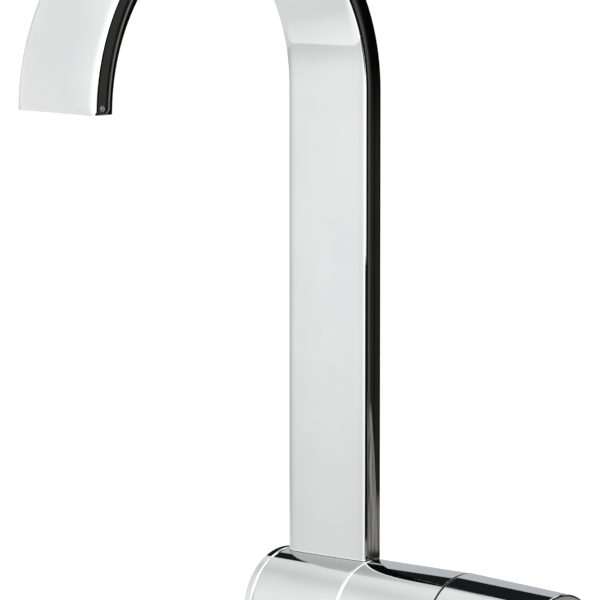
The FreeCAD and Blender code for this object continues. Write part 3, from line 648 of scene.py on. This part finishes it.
def handle_turned():
    """The tapered handle with its boss, socket and holes."""
    piece = turned("handle_turned", handle_outline())
    clean_up(piece, TURNED_SHARP_ANGLE)
    cut(piece, handle_cutters())
    clean_up(piece, TURNED_SHARP_ANGLE)
    stand_in(piece, "handle", "handle", "chrome")


# The cast body, with a finer skin on its cylinder and round edges at its two seams

SKIN_PLANES = 72
SKIN_TOLERANCE = 0.02 * MM
SKIN_CHAMFER = 0.7 * MM
SKIN_RINGS = 8
SEAM_STEPS = 6
BODY_MERGE_DISTANCE = 1e-6
BODY_SHARP_ANGLE = 30
# Marks on the body's faces while they are cut
PLAIN, SKIN = 0, 1
# Each seam of the body with its rounding, its place and the side it faces
BODY_SEAMS = ((BODY_SEAM_EDGE_LEFT, SEAM_LEFT, -1), (BODY_SEAM_EDGE_RIGHT, SEAM_RIGHT, 1))


def from_axis(point):
    """The distance of a point from the body's axis."""
    return math.hypot(point.y, point.z - AXIS_Z)


def seam_radius(x):
    """The cylinder's radius at x, with its rounded edges."""
    for edge, seam, side in BODY_SEAMS:
        past = side * (x - seam) + edge
        if past > 0:
            return BODY_RADIUS - edge + math.sqrt(max(0.0, edge ** 2 - min(past, edge) ** 2))
    return BODY_RADIUS


def mark_skin(bm):
    """Marks the faces that lie on the cylinder."""
    for face in bm.faces:
        radii = [from_axis(v.co) for v in face.verts]
        far_out = min(radii) > BODY_RADIUS - SKIN_CHAMFER
        on_skin = far_out and max(radii) < BODY_RADIUS + SKIN_TOLERANCE
        face.material_index = SKIN if on_skin else PLAIN


def skin_parts(bm):
    """The marked faces with their edges and points, each once and in a fixed order."""
    faces = [face for face in bm.faces if face.material_index == SKIN]
    edges = list(dict.fromkeys(edge for face in faces for edge in face.edges))
    verts = list(dict.fromkeys(vertex for face in faces for vertex in face.verts))
    return verts, edges, faces


def slice_skin(bm, point, direction):
    """Cuts the cylinder's faces in two along a plane."""
    verts, edges, faces = skin_parts(bm)
    bmesh.ops.bisect_plane(bm, geom=verts + edges + faces, dist=MERGE_DISTANCE,
                           plane_co=point, plane_no=direction)


def ring_places():
    """Where rings are cut round the cylinder: evenly along it and closer over its rounded edges."""
    places = [SEAM_LEFT + (SEAM_RIGHT - SEAM_LEFT) * k / SKIN_RINGS for k in range(1, SKIN_RINGS)]
    for edge, seam, side in BODY_SEAMS:
        places.append(seam - side * (edge + SUPPORT))
        for k in range(SEAM_STEPS):
            a = math.radians(90 * k / SEAM_STEPS)
            places.append(seam - side * edge * (1 - math.sin(a)))
    return places


def body_refined():
    """The cast body from its own solid, with the cylinder made finer and rounded at its seams."""
    bm = bmesh.new()
    bm.from_mesh(frame["nodes"]["body"].data)
    bmesh.ops.remove_doubles(bm, verts=bm.verts, dist=BODY_MERGE_DISTANCE)
    mark_skin(bm)
    for k in range(SKIN_PLANES):
        a = math.pi * (k + 0.5) / SKIN_PLANES
        slice_skin(bm, (0, 0, AXIS_Z), (0, -math.sin(a), math.cos(a)))
    for x in ring_places():
        slice_skin(bm, (x, 0, 0), (1, 0, 0))
    verts = skin_parts(bm)[0]
    for vertex in verts:
        scale = seam_radius(vertex.co.x) / from_axis(vertex.co)
        vertex.co.y *= scale
        vertex.co.z = AXIS_Z + (vertex.co.z - AXIS_Z) * scale
    for face in bm.faces:
        face.material_index = PLAIN
    piece = mesh_object("body_refined", [], [])
    bm.to_mesh(piece.data)
    bm.free()
    clean_up(piece, BODY_SHARP_ANGLE)
    stand_in(piece, "body", "swivel", "chrome")


# The threaded shank

SHANK_PITCH = 2.0 * MM
SHANK_THREAD_DEPTH = 0.9 * MM
SHANK_COLUMNS = 96
ROWS_PER_PITCH = 8
SHANK_RADIUS = 16.5 * MM
HOSE_BORE_RADIUS = 12.5 * MM
POST_RADIUS = 15.0 * MM
POST_CHAMFER = 1.0 * MM
STOP_GROOVE_RADIUS = 13.4 * MM
STOP_GROOVE_LOW = 22.1 * MM
STOP_GROOVE_HIGH = 26.3 * MM
STOP_GROOVE_MIDDLE = 90
STOP_GROOVE_HALF_ANGLE = 79.4
THREAD_SHARP_ANGLE = 35


def threaded_post():
    """The base post with its thread and its stop groove. It takes the place of the plain solid."""
    low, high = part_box("base_post")
    bottom, top = low[2], high[2]
    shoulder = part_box("base_flange")[1][2]
    thread_low, thread_high = bottom + POST_CHAMFER, shoulder - SHANK_PITCH
    count = int((thread_high - thread_low) / SHANK_PITCH * ROWS_PER_PITCH)
    # rings of (radius, z), from the bore's lower end round the outside to its upper end
    rows = [(HOSE_BORE_RADIUS, bottom), (SHANK_RADIUS - SHANK_THREAD_DEPTH, bottom)]
    first = len(rows)
    for i in range(count + 1):
        rows.append((SHANK_RADIUS, thread_low + (thread_high - thread_low) * i / count))
    last = len(rows) - 1
    rows += [(SHANK_RADIUS, shoulder), (POST_RADIUS, shoulder), (POST_RADIUS, STOP_GROOVE_LOW)]
    grooved = len(rows)
    rows += [(STOP_GROOVE_RADIUS, STOP_GROOVE_LOW), (STOP_GROOVE_RADIUS, STOP_GROOVE_HIGH),
             (POST_RADIUS, STOP_GROOVE_HIGH), (POST_RADIUS, top - POST_CHAMFER),
             (POST_RADIUS - POST_CHAMFER, top), (HOSE_BORE_RADIUS, top)]
    vertices = []
    for i, (radius, z) in enumerate(rows):
        for j in range(SHANK_COLUMNS):
            turn = j / SHANK_COLUMNS
            r = radius
            if first <= i <= last:
                phase = (z / SHANK_PITCH - turn) % 1.0
                run_out = min(1.0, (last - i) / ROWS_PER_PITCH)
                r -= SHANK_THREAD_DEPTH * (1 - abs(2 * phase - 1)) * run_out
            beside_groove = abs(turn * 360 - STOP_GROOVE_MIDDLE) > STOP_GROOVE_HALF_ANGLE
            if grooved <= i <= grooved + 1 and beside_groove:
                r = POST_RADIUS
            angle = 2 * math.pi * turn
            vertices.append((r * math.cos(angle), r * math.sin(angle), z))
    faces = grid_faces(len(rows), SHANK_COLUMNS, close_rows=True, close_columns=True)
    piece = mesh_object("base_post_threaded", vertices, faces)
    clean_up(piece, THREAD_SHARP_ANGLE)
    stand_in(piece, "base_post", "base", "brass")


# The studio

FLOOR_GAP = 1.0 * MM
FLOOR_SIZE = 14.0
FLOOR_ROUGHNESS = 0.9
FLOOR_GLOW = 0.25
SOFT_LIGHT = 0.72
KEY_LIGHT = 0.9
KEY_ANGLE = 40
KEY_TILT_X, KEY_TILT_Y = 35, 20
WHITE = (1.0, 1.0, 1.0)

# A white sweep in front of the tap, bent round a line above the body's axis
SWEEP_AXIS_Z = 0.08
SWEEP_RADIUS = 0.52
SWEEP_LEFT, SWEEP_RIGHT = -1.5, -0.12
SWEEP_COLUMNS, SWEEP_ROWS = 70, 40
SWEEP_BOTTOM = -15.0
SWEEP_EDGE_Y = 0.207
SWEEP_EDGE_X = -0.52
SWEEP_EDGE_SLOPE = -0.733
SWEEP_EDGE_MOST = 0.42
SWEEP_STRENGTH = 2.0
# Its greys from left to right in metres. They shift to the side between two heights in degrees
SWEEP_SIDE_TONES = [
    (-1.0, 0.44), (-0.72, 0.50), (-0.62, 0.60), (-0.54, 0.66), (-0.47, 0.71), (-0.42, 0.71),
    (-0.36, 0.67), (-0.31, 0.665), (-0.275, 0.74), (-0.24, 0.86), (-0.20, 1.0),
]
SWEEP_SHIFT = 0.07
SWEEP_SHIFT_FROM, SWEEP_SHIFT_TO = 22.0, 48.0
# Its dim band, in degrees up the sweep. The band leans, and ends towards the right
SWEEP_DIP_X = -0.47
SWEEP_DIP_LEAN = 170.0
SWEEP_DIP_SPAN = (44.0, 113.0)
SWEEP_DIP_TONES = [
    (44.0, 1.0), (58.0, 0.93), (73.0, 0.75), (84.0, 0.85), (95.0, 0.93), (106.0, 0.92),
    (112.5, 0.72),
]
SWEEP_DIP_RIGHT = -0.33
SWEEP_DIP_FADE = 0.06
SWEEP_FOOT_SPAN = (-15.0, 5.0)
SWEEP_FOOT_TONES = [(-11.0, 0.86), (-3.0, 0.95), (4.0, 1.0)]

# A dark screen on the right, round the column. It carries a low hill, and its foot is black.
# Its left and right are as the column's side shows them
SCREEN_CENTRE = Vector((0.021, 0.0, 0.0))
SCREEN_RADIUS = 0.55
SCREEN_FACING = 47.5
SCREEN_FROM, SCREEN_TO = 18.0, 90.0
SCREEN_COLUMNS = 80
SCREEN_TOP = 0.33
SCREEN_SPAN = (-0.20, 0.20)
SIDE_FADE = 0.003
LEVEL_FADE = 0.001
HILL_TOP = 0.0742
HILL_PLACE = -0.0265
HILL_DROP = 18.5
HILL_LEFT = -0.032
HILL_EDGE = 0.001
HILL_FADE = 0.004
HILL_STEP = 0.022
HILL_STEP_FADE = 0.008
FOOT_TOP = -0.0085
GROUND_END = -0.034
GROUND_TOP = -0.003
MOTTLE_DARK, MOTTLE_LIGHT = (0.095, 0.088, 0.078), (0.47, 0.45, 0.42)
MOTTLE_LOW, MOTTLE_HIGH = 0.36, 0.64
# High up and right of the middle its stripes give way to a near-black
BLANK_Z = 0.245
BLANK_Z_FADE = 0.045
BLANK_LEFT = 0.0
BLANK_LEFT_FADE = 0.012
BLANK_TONE = 0.003

# The pale mat in front of the tap, split by the line from the column along which it turns bright
MAT_FRONT, MAT_BACK = -0.50, -0.06
MAT_LEFT, MAT_RIGHT = -0.60, 0.35
MAT_LIFT = 2 * FLOOR_GAP / 3
MAT_STRENGTH = 2.36
MAT_SPAN = (-2.0, 0.0)
MAT_TONES = [
    (-1.6, 0.50), (-1.2, 0.60), (-1.0, 0.655), (-0.72, 0.665), (-0.60, 0.78), (-0.50, 0.98),
]

# A flag behind the left cap. At CAP_FLAG_GRAZING the view only grazes the body, so what lies lower
# is seen from the same place
CAP_FLAG_Y = 0.10
CAP_FLAG_WIDTH = 0.10
CAP_FLAG_FROM, CAP_FLAG_TO = -12.0, 38.0
CAP_FLAG_GRAZING = -9.2
CAP_FLAG_STEPS = 12
CAP_FLAG_COLOUR = (0.012, 0.012, 0.013)

# The cards high round the tap, in degrees and metres
SKY_CENTRE = Vector((0.05, 0.0, 0.10))
SKY_STEPS = 24
WALL_DISTANCE = 2.0
WALL_AZIMUTHS = (88, 185)
WALL_FOOT, WALL_TOP = -3, 33.3
WALL_LOW_COLOUR, WALL_HIGH_COLOUR = (0.57, 0.60, 0.635), (0.73, 0.77, 0.81)
FLAG_DISTANCE = 2.2
LOW_FLAG_DISTANCE = 0.62
REAR_SPLIT = 45.0
# Bright ones by azimuths, elevations, distance and strength
PANELS = [
    ("front_panel", (255, 375), (-9, 62), 0.9, 1.8),
    ("overhead_panel", (290, 650), (57, 89), 1.0, 1.9),
    ("flash_panel", (236, 335), (20, 60), 0.85, 4.0),
    ("rear_panel", (64, 121), (REAR_SPLIT, 57), 1.1, 2.2),
]
# Dark ones by azimuths, elevations, distance and colour
FLAGS = [
    ("rear_flag", (62, 123), (WALL_TOP, REAR_SPLIT), FLAG_DISTANCE, (0.010, 0.010, 0.011)),
    ("top_flag", (123, 215), (30, 55), FLAG_DISTANCE, (0.016, 0.017, 0.019)),
    ("side_flag", (6, 62), (28, 55), FLAG_DISTANCE, (0.008, 0.008, 0.009)),
    ("low_flag", (278, 378), (-14, 3), LOW_FLAG_DISTANCE, (0.006, 0.006, 0.006)),
]


def emitter(name, colour=WHITE, strength=1.0):
    """A material that only shines."""
    material = bpy.data.materials.new(name)
    material.use_nodes = True
    tree = material.node_tree
    tree.nodes.clear()
    glow = tree.nodes.new("ShaderNodeEmission")
    glow.name = "glow"
    glow.inputs["Color"].default_value = colour + (1,)
    glow.inputs["Strength"].default_value = strength
    out = tree.nodes.new("ShaderNodeOutputMaterial")
    tree.links.new(glow.outputs["Emission"], out.inputs["Surface"])
    return material


def hang(piece, material, centre=None):
    """Makes a mesh a studio card. Only polished surfaces see it."""
    if centre is not None:
        piece.location = centre
    piece.data.materials.append(material)
    piece.visible_camera = False
    piece.visible_diffuse = False
    piece.visible_shadow = False


def sky_card(name, azimuths, elevations, distance, material):
    """A curved card high round the tap."""
    vertices = []
    for i in range(SKY_STEPS + 1):
        elevation = elevations[0] + (elevations[1] - elevations[0]) * i / SKY_STEPS
        for j in range(SKY_STEPS + 1):
            azimuth = azimuths[0] + (azimuths[1] - azimuths[0]) * j / SKY_STEPS
            vertices.append(spherical(azimuth, elevation) * distance)
    card = mesh_object(name, vertices, grid_faces(SKY_STEPS + 1, SKY_STEPS + 1))
    hang(card, material, SKY_CENTRE)


def math_node(tree, operation, first, second):
    """A calculation with two values, each a socket or a plain number."""
    node = tree.nodes.new("ShaderNodeMath")
    node.operation = operation
    for socket, value in zip(node.inputs, (first, second)):
        if isinstance(value, (int, float)):
            socket.default_value = value
        else:
            tree.links.new(value, socket)
    return node.outputs[0]


def both(tree, first, second):
    """Where two masks meet."""
    return math_node(tree, "MULTIPLY", first, second)


def either(tree, first, second):
    """Where one mask or the other is."""
    return math_node(tree, "MAXIMUM", first, second)


def above(tree, value, edge, fade):
    """A mask that is 1 above the edge and fades to 0 below it."""
    return ramp(tree, value, 0.0, 1.0, edge - fade, edge)


def below(tree, value, edge, fade):
    """A mask that is 0 above the edge and fades to 1 below it."""
    return ramp(tree, value, 1.0, 0.0, edge - fade, edge)


def card_place(tree):
    """The card's own coordinates."""
    place = tree.nodes.new("ShaderNodeTexCoord")
    split = tree.nodes.new("ShaderNodeSeparateXYZ")
    tree.links.new(place.outputs["Object"], split.inputs["Vector"])
    return split.outputs["X"], split.outputs["Y"], split.outputs["Z"]


def blend(tree, kind, factor, first, second):
    """Mixes two colours, each a socket or a plain colour."""
    node = tree.nodes.new("ShaderNodeMix")
    node.data_type = "RGBA"
    node.blend_type = kind
    for name, value in (("Factor", factor), ("A", first), ("B", second)):
        socket = node.inputs[name]
        if isinstance(value, float):
            socket.default_value = value
        elif isinstance(value, tuple):
            socket.default_value = value + (1,)
        else:
            tree.links.new(value, socket)
    return node.outputs["Result"]


def placed_stops(tree, source, span, stops, soft="LINEAR"):
    """Colours at given places between the two ends of a span."""
    low, high = span
    shares = [((place - low) / (high - low), colour) for place, colour in stops]
    return colour_stops(tree, ramp(tree, source, 0.0, 1.0, low, high), shares, soft)


def grey_stops(tree, source, span, tones, soft="LINEAR"):
    """Greys at given places between the two ends of a span."""
    return placed_stops(tree, source, span, [(place, grey(tone)) for place, tone in tones], soft)


def sweep_material():
    """White, with a soft dim band across it, brighter at its right end and dimmer at its left."""
    material = emitter("white_sweep", strength=SWEEP_STRENGTH)
    tree = material.node_tree
    x, y, z = card_place(tree)
    forward = math_node(tree, "MULTIPLY", y, -1.0)
    angle = math_node(tree, "ARCTAN2", z, forward)
    degrees = math_node(tree, "MULTIPLY", angle, 180 / math.pi)
    shift = ramp(tree, degrees, 0.0, SWEEP_SHIFT, SWEEP_SHIFT_FROM, SWEEP_SHIFT_TO)
    shifted = math_node(tree, "SUBTRACT", x, shift)
    side = grey_stops(tree, shifted, (SWEEP_LEFT, SWEEP_RIGHT), SWEEP_SIDE_TONES)
    from_dip = math_node(tree, "SUBTRACT", x, SWEEP_DIP_X)
    lean = math_node(tree, "MULTIPLY", from_dip, SWEEP_DIP_LEAN)
    across = math_node(tree, "ADD", degrees, lean)
    dip = grey_stops(tree, across, SWEEP_DIP_SPAN, SWEEP_DIP_TONES, "B_SPLINE")
    where = below(tree, x, SWEEP_DIP_RIGHT, SWEEP_DIP_FADE)
    shade = blend(tree, "MIX", where, WHITE, dip)
    colour = blend(tree, "MULTIPLY", 1.0, side, shade)
    foot = grey_stops(tree, degrees, SWEEP_FOOT_SPAN, SWEEP_FOOT_TONES)
    whole = blend(tree, "MULTIPLY", 1.0, colour, foot)
    tree.links.new(whole, tree.nodes["glow"].inputs["Color"])
    return material


def white_sweep():
    """The curved card in front of the tap. Its upper edge runs aslant."""
    vertices = []
    for i in range(SWEEP_ROWS + 1):
        for j in range(SWEEP_COLUMNS + 1):
            x = SWEEP_LEFT + (SWEEP_RIGHT - SWEEP_LEFT) * j / SWEEP_COLUMNS
            edge_y = min(SWEEP_EDGE_MOST, SWEEP_EDGE_Y + SWEEP_EDGE_SLOPE * (x - SWEEP_EDGE_X))
            top = 90 + math.degrees(math.asin(edge_y / SWEEP_RADIUS))
            a = math.radians(SWEEP_BOTTOM + (top - SWEEP_BOTTOM) * i / SWEEP_ROWS)
            vertices.append((x, -SWEEP_RADIUS * math.cos(a), SWEEP_RADIUS * math.sin(a)))
    card = mesh_object("white_sweep", vertices, grid_faces(SWEEP_ROWS + 1, SWEEP_COLUMNS + 1))
    hang(card, sweep_material(), Vector((0, 0, SWEEP_AXIS_Z)))


def mat_material():
    """The brightness follows the direction from the column, so that its right edge shines."""
    material = emitter("pale_mat", strength=MAT_STRENGTH)
    tree = material.node_tree
    x, y = card_place(tree)[:2]
    from_column = math_node(tree, "SUBTRACT", x, SPOUT_HALF_WIDTH)
    forward = math_node(tree, "MULTIPLY", y, -1.0)
    direction = math_node(tree, "DIVIDE", from_column, forward)
    tone = grey_stops(tree, direction, MAT_SPAN, MAT_TONES)
    tree.links.new(tone, tree.nodes["glow"].inputs["Color"])
    return material


def level_card(name, left, right, front, back, z):
    """One flat rectangle that faces up."""
    corners = [(left, front, z), (right, front, z), (right, back, z), (left, back, z)]
    return mesh_object(name, corners, [(0, 1, 2, 3)])


def pale_mat(floor_z):
    """The mat just over the floor."""
    mat = level_card("pale_mat", MAT_LEFT, MAT_RIGHT, MAT_FRONT, MAT_BACK, floor_z + MAT_LIFT)
    hang(mat, mat_material())


def screen_stripes(tree, along):
    """The dim stripes of the room that the narrow sides show."""
    black, dark, olive = (0.004, 0.004, 0.004), (0.013, 0.014, 0.010), (0.027, 0.029, 0.020)
    dim, line, wide = (0.052, 0.054, 0.051), (0.30, 0.31, 0.30), (0.12, 0.125, 0.12)
    stops = [
        (-0.182, black), (-0.176, dim), (-0.124, dim), (-0.119, dark), (-0.106, dark),
        (-0.1025, line), (-0.0975, line), (-0.094, black), (-0.030, black), (-0.025, wide),
        (-0.014, wide), (-0.010, olive), (0.004, olive), (0.011, dark), (0.017, dark),
        (0.023, olive), (0.040, olive), (0.055, dark), (0.09, black),
    ]
    return placed_stops(tree, along, SCREEN_SPAN, stops)


def hill_mask(tree, along, z):
    """A round top with a low step beside it, cut off at its left and above the black foot."""
    from_top = math_node(tree, "SUBTRACT", along, HILL_PLACE)
    squared = math_node(tree, "POWER", from_top, 2.0)
    fall = math_node(tree, "MULTIPLY", squared, HILL_DROP)
    skyline = math_node(tree, "SUBTRACT", HILL_TOP, fall)
    under = below(tree, math_node(tree, "SUBTRACT", z, skyline), HILL_EDGE, HILL_FADE)
    low_down = below(tree, z, HILL_STEP, HILL_STEP_FADE)
    standing = both(tree, either(tree, under, low_down), above(tree, z, FOOT_TOP, LEVEL_FADE))
    return both(tree, standing, above(tree, along, HILL_LEFT, SIDE_FADE))


def ground_mask(tree, along, z):
    """The low ground left of the hill."""
    low_down = below(tree, z, GROUND_TOP, LEVEL_FADE)
    return both(tree, low_down, below(tree, along, GROUND_END, SIDE_FADE))


def screen_material():
    """Black, with stripes, the low hill that the column's side shows and the ground left of it."""
    material = emitter("dark_screen")
    tree = material.node_tree
    x, y, z = card_place(tree)
    angle = math_node(tree, "ARCTAN2", y, x)
    turned_by = math_node(tree, "SUBTRACT", angle, math.radians(SCREEN_FACING))
    along = math_node(tree, "MULTIPLY", turned_by, SCREEN_RADIUS)
    blank = both(tree, above(tree, z, BLANK_Z, BLANK_Z_FADE),
                 above(tree, along, BLANK_LEFT, BLANK_LEFT_FADE))
    backdrop = blend(tree, "MIX", blank, screen_stripes(tree, along), grey(BLANK_TONE))
    spots = noise(tree, scale=55.0, detail=4.0, stretch=(1, 1, 0.5))
    mottle = ramp(tree, spots, MOTTLE_DARK, MOTTLE_LIGHT, MOTTLE_LOW, MOTTLE_HIGH)
    land = either(tree, hill_mask(tree, along, z), ground_mask(tree, along, z))
    colour = blend(tree, "MIX", land, backdrop, mottle)
    tree.links.new(colour, tree.nodes["glow"].inputs["Color"])
    return material


def dark_screen(floor_z):
    """The upright curved card on the right."""
    vertices = []
    for z in (floor_z + FLOOR_GAP, SCREEN_TOP):
        for j in range(SCREEN_COLUMNS + 1):
            azimuth = SCREEN_FROM + (SCREEN_TO - SCREEN_FROM) * j / SCREEN_COLUMNS
            place = spherical(azimuth, 0) * SCREEN_RADIUS
            vertices.append((place.x, place.y, z))
    card = mesh_object("dark_screen", vertices, grid_faces(2, SCREEN_COLUMNS + 1))
    hang(card, screen_material(), SCREEN_CENTRE)


def wall_material():
    """Bluish grey, a little darker towards the horizon."""
    material = emitter("grey_wall")
    tree = material.node_tree
    height = card_place(tree)[2]
    top = WALL_DISTANCE * math.sin(math.radians(WALL_TOP))
    colour = ramp(tree, height, WALL_LOW_COLOUR, WALL_HIGH_COLOUR, 0.0, top)
    tree.links.new(colour, tree.nodes["glow"].inputs["Color"])
    return material


def mirrored(view, elevation):
    """The direction that a view sees in the round body, by its elevation in degrees."""
    rise = math.sin(math.radians(elevation))
    return Vector((-view.x, math.sqrt(1 - view.x ** 2 - rise ** 2), rise))


def cap_flag():
    """A small black flag behind the left cap. Its edge follows what the cap's seam reflects."""
    seam_x = SEAM_LEFT - CAP_SEAM_EDGE / 2
    view = (CAMERA_PLACE - Vector((seam_x, 0, AXIS_Z + BODY_RADIUS))).normalized()
    vertices = []
    for k in range(CAP_FLAG_STEPS + 1):
        elevation = CAP_FLAG_FROM + (CAP_FLAG_TO - CAP_FLAG_FROM) * k / CAP_FLAG_STEPS
        facing = (view + mirrored(view, max(elevation, CAP_FLAG_GRAZING))).normalized()
        start = Vector((seam_x, 0, AXIS_Z)) + facing * BODY_RADIUS
        away = mirrored(view, elevation)
        edge = start + away * (CAP_FLAG_Y - start.y) / away.y
        vertices += [edge - Vector((CAP_FLAG_WIDTH, 0, 0)), edge]
    card = mesh_object("cap_flag", vertices, grid_faces(CAP_FLAG_STEPS + 1, 2))
    hang(card, emitter("cap_flag", CAP_FLAG_COLOUR))


def seen_directly(tree):
    """1 for camera, glossy and transmission rays, and 0 for the light that falls on things."""
    path = tree.nodes.new("ShaderNodeLightPath")
    total = path.outputs["Is Camera Ray"]
    for name in ("Is Glossy Ray", "Is Transmission Ray"):
        total = either(tree, total, path.outputs[name])
    return total


def floor_material():
    """Pale floor, raised to white where the camera or a reflection sees it. It keeps its shadow."""
    material, tree, shader = new_material("pale_floor")
    tint = ramp(tree, noise(tree, scale=3.0), grey(0.86), grey(0.90))
    tree.links.new(tint, shader.inputs["Base Color"])
    shader.inputs["Roughness"].default_value = FLOOR_ROUGHNESS
    shader.inputs["Emission Color"].default_value = WHITE + (1,)
    glow = ramp(tree, seen_directly(tree), 0.0, FLOOR_GLOW, 0.0, 1.0)
    tree.links.new(glow, shader.inputs["Emission Strength"])
    return material


def make_floor(floor_z):
    """A wide floor just under the part."""
    half = FLOOR_SIZE / 2
    floor = level_card("floor", -half, half, -half, half, floor_z)
    floor.data.materials.append(floor_material())


def make_world():
    """Even soft light. Whatever is seen of it directly or in a reflection is white."""
    world = bpy.data.worlds.new("studio")
    bpy.context.scene.world = world
    world.use_nodes = True
    tree = world.node_tree
    background = tree.nodes["Background"]
    background.inputs["Color"].default_value = WHITE + (1,)
    strength = ramp(tree, seen_directly(tree), SOFT_LIGHT, 1.0, 0.0, 1.0)
    tree.links.new(strength, background.inputs["Strength"])


def make_key():
    """A wide, soft sun that no polished surface mirrors."""
    key = bpy.data.lights.new("key", "SUN")
    key.energy = KEY_LIGHT
    key.angle = math.radians(KEY_ANGLE)
    lamp = bpy.data.objects.new("key", key)
    lamp.rotation_euler = (math.radians(KEY_TILT_X), math.radians(KEY_TILT_Y), 0)
    lamp.visible_glossy = False
    bpy.context.scene.collection.objects.link(lamp)


def make_studio():
    """The floor, the light and the cards that the polished faces show."""
    floor_z = cad_box[0][2] - FLOOR_GAP
    make_floor(floor_z)
    make_world()
    make_key()
    white_sweep()
    pale_mat(floor_z)
    dark_screen(floor_z)
    cap_flag()
    for name, azimuths, elevations, distance, strength in PANELS:
        sky_card(name, azimuths, elevations, distance, emitter(name, strength=strength))
    for name, azimuths, elevations, distance, colour in FLAGS:
        sky_card(name, azimuths, elevations, distance, emitter(name, colour))
    sky_card("back_wall", WALL_AZIMUTHS, (WALL_FOOT, WALL_TOP), WALL_DISTANCE, wall_material())


def make_camera():
    """The photograph's camera."""
    camera = bpy.data.cameras.new("camera")
    camera.lens = CAMERA_LENS_MM
    camera.sensor_width = CAMERA_SENSOR_MM
    camera.clip_end = CAMERA_CLIP_END
    holder = bpy.data.objects.new("camera", camera)
    holder.location = CAMERA_PLACE
    holder.rotation_euler = (math.radians(90 - CAMERA_ELEVATION), 0, math.radians(CAMERA_AZIMUTH))
    bpy.context.scene.collection.objects.link(holder)
    bpy.context.scene.camera = holder


make_camera()
make_studio()
dress_frame()
spout_tube()
end_cap_turned()
sleeve_turned()
handle_turned()
body_refined()
threaded_post()
bpy.context.scene.view_settings.view_transform = "Standard"
